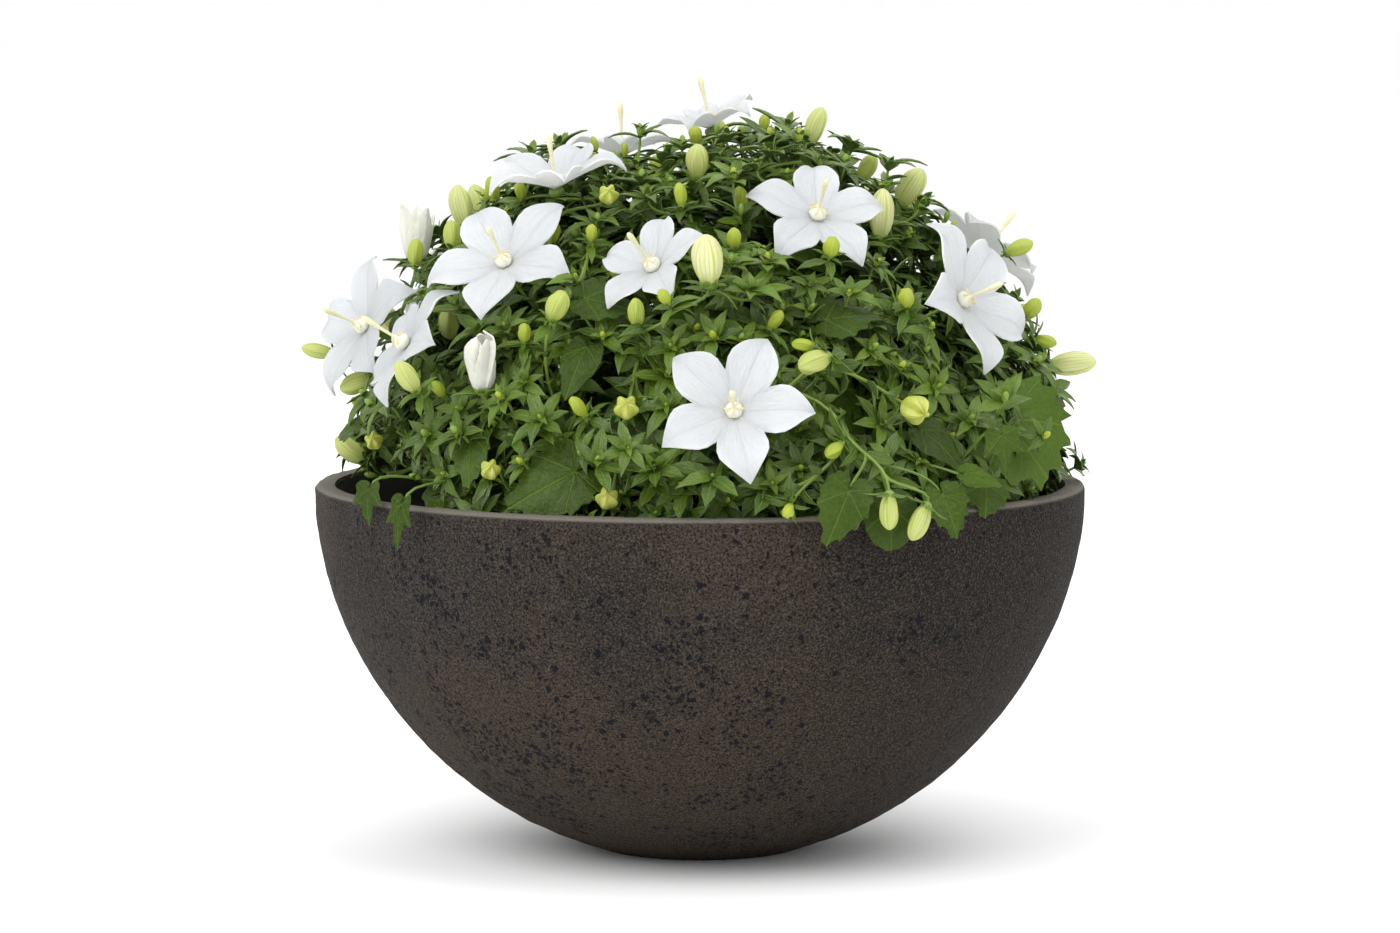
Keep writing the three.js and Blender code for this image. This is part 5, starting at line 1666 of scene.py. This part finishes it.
class BELLFLOWER_OT_bowl(bpy.types.Operator):
    """Turns the stone bowl, with a rounded rim and a granular surface"""

    bl_idname = "bellflower.bowl"
    bl_label = "Stone Bowl"

    def execute(self, context):
        sizes = context.scene.bellflower_sizes
        bowl = raise_rings("bowl_stone", self.profile(), sizes.bowl_sides)
        for scale, share in STONE_RELIEF:
            depth = sizes.grain / MM * 2 * share
            roughen(bowl, "grain", scale, strength=depth, mid_level=0.5)
        reshape(bowl, lambda p: np.where(p[:, 2:] < 0.5, p * [1, 1, 0], p))
        centres = read(bowl.data.polygons, "center")
        outside = [wall_radius(z, 0, 0) for z in centres[:, 2]]
        inside = np.hypot(centres[:, 0], centres[:, 1]) < np.array(outside) - 0.8 * BOWL_WALL
        inside &= (centres[:, 2] > 3) & (centres[:, 2] < BOWL_HEIGHT - 0.8)
        bowl.data.polygons.foreach_set("material_index", inside.astype(int))
        bowl.data.transform(Matrix.Scale(MM, 4))
        colours = context.scene.bellflower_colours
        bowl.data.materials.append(stone_finish(colours))
        bowl.data.materials.append(inside_finish(colours))
        smooth(bowl, below=40)
        settle(bowl, ["bowl"])
        return {"FINISHED"}

    def profile(self):
        """The rings of the wall: up the outside, over the rounded rim, and down the inside to the floor."""
        rings = [(wall_radius(0, 0, 0), 0)]
        for i in range(1, BOWL_CURVE_POINTS + 1):
            z = BOWL_WIDEST * (i / BOWL_CURVE_POINTS) ** 1.5
            rings.append((wall_radius(z, 0, 0), z))
        for i in range(RIM_POINTS + 1):
            angle = math.pi / 2 * i / RIM_POINTS
            radius = BOWL_RADIUS - RIM_ROUND * (1 - math.cos(angle))
            rings.append((radius, BOWL_HEIGHT - RIM_ROUND * (1 - math.sin(angle))))
        for i in range(1, 4):
            radius = INNER_RADIUS + (BOWL_WALL - RIM_ROUND) * (1 - i / 3)
            rings.append((radius, BOWL_HEIGHT - 0.25 * (i == 3)))
        for z in (*INSIDE_HEIGHTS, BOWL_FLOOR + 0.4):
            rings.append((wall_radius(z, BOWL_WALL, BOWL_FLOOR), z))
        return rings


class BELLFLOWER_OT_soil(bpy.types.Operator):
    """Fills the bowl with crumbly soil"""

    bl_idname = "bellflower.soil"
    bl_label = "Soil"

    def execute(self, context):
        profile = []
        for z in SOIL_HEIGHTS:
            profile.append((wall_radius(z, BOWL_WALL, BOWL_FLOOR) - SOIL_GAP, z))
        edge = wall_radius(SOIL_TOP, BOWL_WALL, BOWL_FLOOR) - SOIL_GAP
        for i in range(SOIL_RINGS):
            share = 1 - i / SOIL_RINGS
            rise = (SOIL_CREST - SOIL_TOP) * (1 - share**2)
            profile.append((max(0.6, edge * share), SOIL_TOP + rise))
        soil = raise_rings("potting_soil", profile, SOIL_SIDES)
        for scale, depth in SOIL_RELIEF:
            roughen(soil, "lumps", scale, strength=depth, mid_level=0.6, direction="Z")
        soil.data.transform(Matrix.Scale(MM, 4))
        soil.data.materials.append(soil_finish(context.scene.bellflower_colours))
        smooth(soil, below=60)
        settle(soil, ["soil"])
        return {"FINISHED"}


class BELLFLOWER_OT_corollas(bpy.types.Operator):
    """Shapes the white corolla of each open flower and of each flower about to open"""

    bl_idname = "bellflower.corollas"
    bl_label = "Corollas"

    def execute(self, context):
        colours = context.scene.bellflower_colours
        white = petal_finish(colours, "petal_white", colours.petal, 0.5)
        cream = petal_finish(colours, "petal_cream", colours.petal_cream, 0.35)
        for number in range(1, OPEN_FLOWERS + 1):
            flower = read_flower(number)
            # Painted shade: the listed flowers get the full grey tone.
            tone = 1 if number in PAINTED_SHADE_FLOWERS else 0.2 * drawn(number, 21)
            self.add(number, corolla_form(flower), flower["matrix"], tone, white)
        for i, bell in enumerate(BELLS):
            number = OPEN_FLOWERS + 1 + i
            axis = leaning(bell["tip"], bell["towards"])
            foot = from_picture(*bell["base"], bell["level"]) + axis * BELL_SEAT
            self.add(number, bell_form(bell), standing(foot, axis), 0.5, cream)
        return {"FINISHED"}

    def add(self, number, shape, matrix, tone, material):
        """Makes the piece of one flower's petals."""
        pile = Pile()
        pile.add(shape, [matrix], [tone])
        corolla = pile.piece(f"flower_{number:02d}_petals", [material])
        settle(corolla, [f"corolla_{number:02d}"])


# The rings of a style from its round foot to its tip, as radius and height in mm
STYLE_PROFILE = [
    *((0.8, -0.9), (2.0, 0.0), (2.45, 0.8), (2.3, 1.6), (1.8, 2.3), (1.1, 2.8), (0.55, 3.2)),
    *((0.4, 4.4), (0.42, 7), (0.52, 9), (0.68, 10.4), (0.82, 11.8), (0.84, 12.8)),
    *((0.7, 13.6), (0.42, 14.1), (0.15, 14.3)),
]
STYLE_FOOT_TOP = 2.9
STYLE_SIDES = 30
STAMEN_POINTS = 9


class BELLFLOWER_OT_pistils(bpy.types.Operator):
    """Adds the club-shaped style and the curled stamens of each open flower"""

    bl_idname = "bellflower.pistils"
    bl_label = "Pistils"

    def execute(self, context):
        colours = context.scene.bellflower_colours
        cream = pistil_finish("style_cream", colours.style, colours.style_shade, colours.ovary)
        yellow = pistil_finish("stamen_yellow", colours.stamen, colours.pollen, colours.stamen)
        body = raise_rings("style", STYLE_PROFILE, STYLE_SIDES)
        reshape(body, self.segment)
        style = take_shape(body, round_place)
        for number in range(1, OPEN_FLOWERS + 1):
            flower = read_flower(number)
            foot = flower["middle"] + flower["axis"] * PISTIL_LIFT
            frame_of = standing(foot, flower["axis"], turn=number)
            pile = Pile()
            pile.add(style, [frame_of], [0.5])
            for i in range(PETALS):
                pile.add(self.stamen(number, i), [frame_of], [0.5])
            pistil = pile.piece(f"flower_{number:02d}_pistil", [cream, yellow])
            settle(pistil, [f"pistil_{number:02d}"])
        return {"FINISHED"}

    def segment(self, points):
        """Grooves the round foot of the style into five segments."""
        angle = np.arctan2(points[:, 1], points[:, 0])
        foot = np.clip((STYLE_FOOT_TOP - points[:, 2]) / 1.5, 0, 1)
        groove = 1 - 0.07 * foot * np.abs(np.sin(PETALS * angle / 2)) ** 6
        return points * np.stack([groove, groove, np.ones(len(points))], axis=1)

    def stamen(self, number, i):
        """A withered stamen that curls out from under the style."""
        turn = 2 * math.pi * (i + 0.4 * drawn(number * 5 + i, 51)) / PETALS
        curl = varied(number * 5 + i, 52, 1.2, 1.6)
        points, radii = [], []
        for t in np.linspace(0, 1, STAMEN_POINTS):
            out = 0.7 + 2.0 * t**0.8
            up = 3.1 - 1.5 * t**2 + (0.5 + 0.5 * curl) * max(0, t - 0.55) * 1.6
            swing = turn + (curl - 2) * 0.8 * t * t
            points.append((out * math.cos(swing), out * math.sin(swing), up))
            radii.append(0.15 + 0.12 * t**2)
        return tube(points, radii, STALK_SIDES, 1)


class BELLFLOWER_OT_leafy_stems(bpy.types.Operator):
    """Grows the stems with their stalks, leaves, rosettes, calyces and buds"""

    bl_idname = "bellflower.leafy_stems"
    bl_label = "Leafy Stems"

    def execute(self, context):
        colours = context.scene.bellflower_colours
        self.sizes = context.scene.bellflower_sizes
        materials = [
            leaf_finish(colours, "narrow_leaf", colours.leaf_dark_and_painted_shade, colours.leaf, False),
            stalk_finish(colours),
            bud_finish(colours),
            leaf_finish(colours, "broad_leaf", colours.broad_dark_and_painted_shade, colours.broad, True),
        ]
        self.narrow = [narrow_leaf(bend) for bend in LEAF_BENDS]
        self.broad = {kind: broad_leaf(*form) for kind, form in BROAD_KINDS.items()}
        self.buds = [bud_form(0), bud_form(1)]
        self.hearts = [bud_form(0, 10, 5), bud_form(0, 10, 5, STALK)]
        self.cup = calyx_cup()
        stems = list_stems()
        self.heads = list_heads()
        self.shields = list_shields(self.heads)
        for head in self.heads:
            nearest_stem(stems, head["foot"])["heads"].append(head)
        for order, leaf in enumerate(list_broad_leaves()):
            kind, middle, face, way, long, wide, tone = leaf
            way = (way - face * way.dot(face)).normalized()
            foot = middle - way * long / 2
            nearest_stem(stems, foot)["leaves"].append((kind, order, foot, face, way, long, wide, tone))
        for stem in stems:
            piece = self.grow(stem).piece(f"{stem['name']}_foliage", materials)
            settle(piece, [stem["name"]])
        return {"FINISHED"}

    def grow(self, stem):
        """Gathers one stem with all that it bears."""
        self.pile, self.narrow_frames = Pile(), []
        main = stem["branches"][0]
        radii = np.linspace(STEM_RADIUS, STEM_RADIUS * STEM_TAPER, len(main))
        self.pile.add_tube(main, radii, STEM_SIDES, 0.3)
        for head in stem["heads"]:
            line = stalk_line(stem, head["foot"], head["axis"])
            if (line[-1] - line[0]).length > STALK_SHORTEST:
                stem["branches"].append(line)
            thick = STALK_RADIUS * (1.25 if head["kind"] in ("flower", "bell") else 1)
            radii = np.linspace(thick * 1.2, thick * 0.9, len(line))
            self.pile.add_tube(line, radii, STALK_SIDES, varied(head["order"], 61, 0.4, 0.5))
            self.leaves_on(line, head["order"], head.get("layer") == UNDER_LAYER)
            getattr(self, "add_" + head["kind"])(head)
        self.add_broad_leaves(stem)
        for kind, shape in enumerate(self.narrow):
            chosen = [(matrix, tone) for k, matrix, tone in self.narrow_frames if k == kind]
            free = self.free(shape, [matrix for matrix, _ in chosen])
            kept = [pair for pair, is_free in zip(chosen, free) if is_free]
            self.pile.add(shape, [matrix for matrix, _ in kept], [tone for _, tone in kept])
        return self.pile

    def free(self, shape, matrices):
        """Which copies of a leaf keep clear of the rest and hide nothing that the picture shows."""
        points = copies_of(shape, matrices)
        return clear_of_others(points, self.heads) & ~hidden_by(points, self.shields)

    def leaf(self, matrix, order, tone):
        """Notes a narrow leaf. Those low down or deep under the dome get painted shade: their tone is
        darker.
        """
        kind = int(3 * drawn(order, 62)) % 3
        at = matrix.translation - Vector((0, 0, DOME_HEIGHT_AT))
        level = math.hypot(at.x / DOME_RADIUS, at.y / DOME_RADIUS, at.z / DOME_RISE)
        # Painted shade: the tone falls for leaves deep under the dome and low down.
        outside = clamped((level - 0.7) / 0.28)
        high = clamped((matrix.translation.z - BOWL_HEIGHT) / 40)
        self.narrow_frames.append((kind, matrix, tone * (0.5 + 0.5 * outside) * (0.6 + 0.4 * high)))

    def leaves_on(self, line, order, under):
        """Leaves in a spiral along a stalk. Under the dome they are larger."""
        sizes = self.sizes
        total = sum((b - a).length for a, b in zip(line, line[1:]))
        count = int(total * 0.8 / sizes.leaf_spacing)
        for i in range(count):
            share = 0.2 + 0.74 * (i + 0.5) / count
            place, along = along_line(line, share)
            number = order * 16 + i
            turn = math.radians(GOLDEN * (i + order))
            out = standing(place, along, turn=turn).to_3x3() @ Vector((1, 0, 0))
            way = along * varied(number, 63, 0.35, 0.4) + out
            long = sizes.leaf_length * varied(number, 64, 0.7, 0.55) * (1.15 if under else 1)
            wide = sizes.leaf_width * varied(number, 65, 0.85, 0.4) * long / sizes.leaf_length
            face = along * 1.2 + Vector((0, 0, 0.5))
            tone = varied(number, 66, 0.1, 0.5) + 0.15 * share
            self.leaf(leaf_matrix(place, way, face, long, wide), number, tone)

    def add_rosette(self, head):
        """A ring of leaves, a ring of smaller ones within it, and a young bud at the heart."""
        sizes, order, axis = self.sizes, head["order"], head["axis"]
        long, wide = sizes.leaf_length * head["size"], sizes.leaf_width * head["size"]
        outer = (head["foot"], axis, sizes.rosette_leaves, head["turn"], long, wide, ROSETTE_RISE, order)
        for i, matrix in enumerate(whorl(*outer)):
            self.leaf(matrix, order * 9 + i, varied(order * 9 + i, 67, 0.3, 0.5))
        turn = head["turn"] + 0.5
        inner = (head["foot"] + axis, axis, 4, turn, long * 0.5, wide * 0.55, HEART_RISE, order + 999)
        for i, matrix in enumerate(whorl(*inner)):
            self.leaf(matrix, order * 9 + i, varied(order * 9 + i, 68, 0.75, 0.25))
        heart = varied(order, 69, 1.2, 1.3)
        matrix = standing(head["foot"], axis) @ Matrix.Diagonal((heart, heart, heart * 2, 1))
        green = drawn(order, 70) < 0.65
        self.pile.add(self.hearts[green], [matrix], [0.9 if green else 0])

    def add_calyx(self, head, wide, sepal, rise):
        """The cup and the five sepals under a bud or flower."""
        matrix = standing(head["foot"] - head["axis"] * 0.6, head["axis"])
        self.pile.add(self.cup, [matrix @ Matrix.Diagonal((wide, wide, wide * 0.66, 1))], [0.7])
        turn = 2 * math.pi * drawn(head["order"], 71)
        foot = head["foot"] - head["axis"] * 0.2
        frames = whorl(foot, head["axis"], PETALS, turn, sepal, sepal * 0.26, rise, head["order"])
        for i, matrix in enumerate(frames):
            self.pile.add(self.narrow[0], [matrix], [varied(head["order"] + i, 72, 0.45, 0.3)])

    def add_bud(self, head):
        """A bud, closed or opening as a star towards its point, with a whorl of leaves below its calyx."""
        long, wide, order = head["long"], head["wide"], head["order"]
        self.add_calyx(head, wide * 0.62, 3.2 + 0.3 * long, 16)
        end_on = wide / long > STAR_SHARE
        spread = wide * (1.22 if end_on else 1)
        scale = Matrix.Diagonal((spread, spread, long, 1))
        matrix = standing(head["foot"], head["axis"], turn=6.3 * drawn(order, 73)) @ scale
        tone = clamped((long - 7.5) / 8) * varied(order, 74, 0.85, 0.3)
        self.pile.add(self.buds[end_on], [matrix], [STAR_TONE if end_on else tone])
        below = head["foot"] - head["axis"] * 1.5
        for i, matrix in enumerate(whorl(below, head["axis"], 4, order, 9, 3, -2, order + 500)):
            self.leaf(matrix, order * 9 + i, varied(order * 9 + i, 75, 0.3, 0.4))

    def add_bell(self, head):
        """The calyx of a flower about to open, its sepals upright."""
        self.add_calyx(head, 5.5, 9.5, 18)

    def add_flower(self, head):
        """The calyx of an open flower, its sepals spread."""
        self.add_calyx(head, 4.6, 9, -4)

    def add_broad_leaves(self, stem):
        """Broad toothed leaves, each on its own stalk."""
        for kind, order, foot, face, way, long, wide, tone in stem["leaves"]:
            matrix = leaf_matrix(foot, way, face, long, wide)
            shape = self.broad[kind]
            if order >= len(BROAD_LEAVES) and not self.free(shape, [matrix])[0]:
                continue
            self.pile.add(shape, [matrix], [tone + 0.2 * drawn(order, 76)])
            line = stalk_line(stem, foot + way * JOINT * long - face * 0.3, way)
            self.pile.add_tube(line, np.full(len(line), BLADE_STALK_RADIUS), STALK_SIDES, 0.35)


class BELLFLOWER_PT_panel(bpy.types.Panel):
    """Lists the steps and settings"""

    bl_idname = "BELLFLOWER_PT_panel"
    bl_label = "Potted Bellflower"
    bl_space_type = "VIEW_3D"
    bl_region_type = "UI"
    bl_category = "Bellflower"

    def draw(self, context):
        column = self.layout.column(align=True)
        for operator in OPERATORS:
            column.operator(operator.bl_idname)
        for settings in (context.scene.bellflower_sizes, context.scene.bellflower_colours):
            for name in settings.__annotations__:
                self.layout.prop(settings, name)


OPERATORS = (
    BELLFLOWER_OT_stage,
    BELLFLOWER_OT_bowl,
    BELLFLOWER_OT_soil,
    BELLFLOWER_OT_corollas,
    BELLFLOWER_OT_pistils,
    BELLFLOWER_OT_leafy_stems,
)
CLASSES = (BellflowerSizes, BellflowerColours, *OPERATORS, BELLFLOWER_PT_panel)


def register():
    for cls in CLASSES:
        bpy.utils.register_class(cls)
    bpy.types.Scene.bellflower_sizes = PointerProperty(type=BellflowerSizes)
    bpy.types.Scene.bellflower_colours = PointerProperty(type=BellflowerColours)


def unregister():
    del bpy.types.Scene.bellflower_colours
    del bpy.types.Scene.bellflower_sizes
    for cls in reversed(CLASSES):
        bpy.utils.unregister_class(cls)


def main():
    """Makes the stage and every piece."""
    register()
    bpy.ops.bellflower.stage()
    bpy.ops.bellflower.bowl()
    bpy.ops.bellflower.soil()
    bpy.ops.bellflower.corollas()
    bpy.ops.bellflower.pistils()
    bpy.ops.bellflower.leafy_stems()
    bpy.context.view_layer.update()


if __name__ == "__main__":
    main()
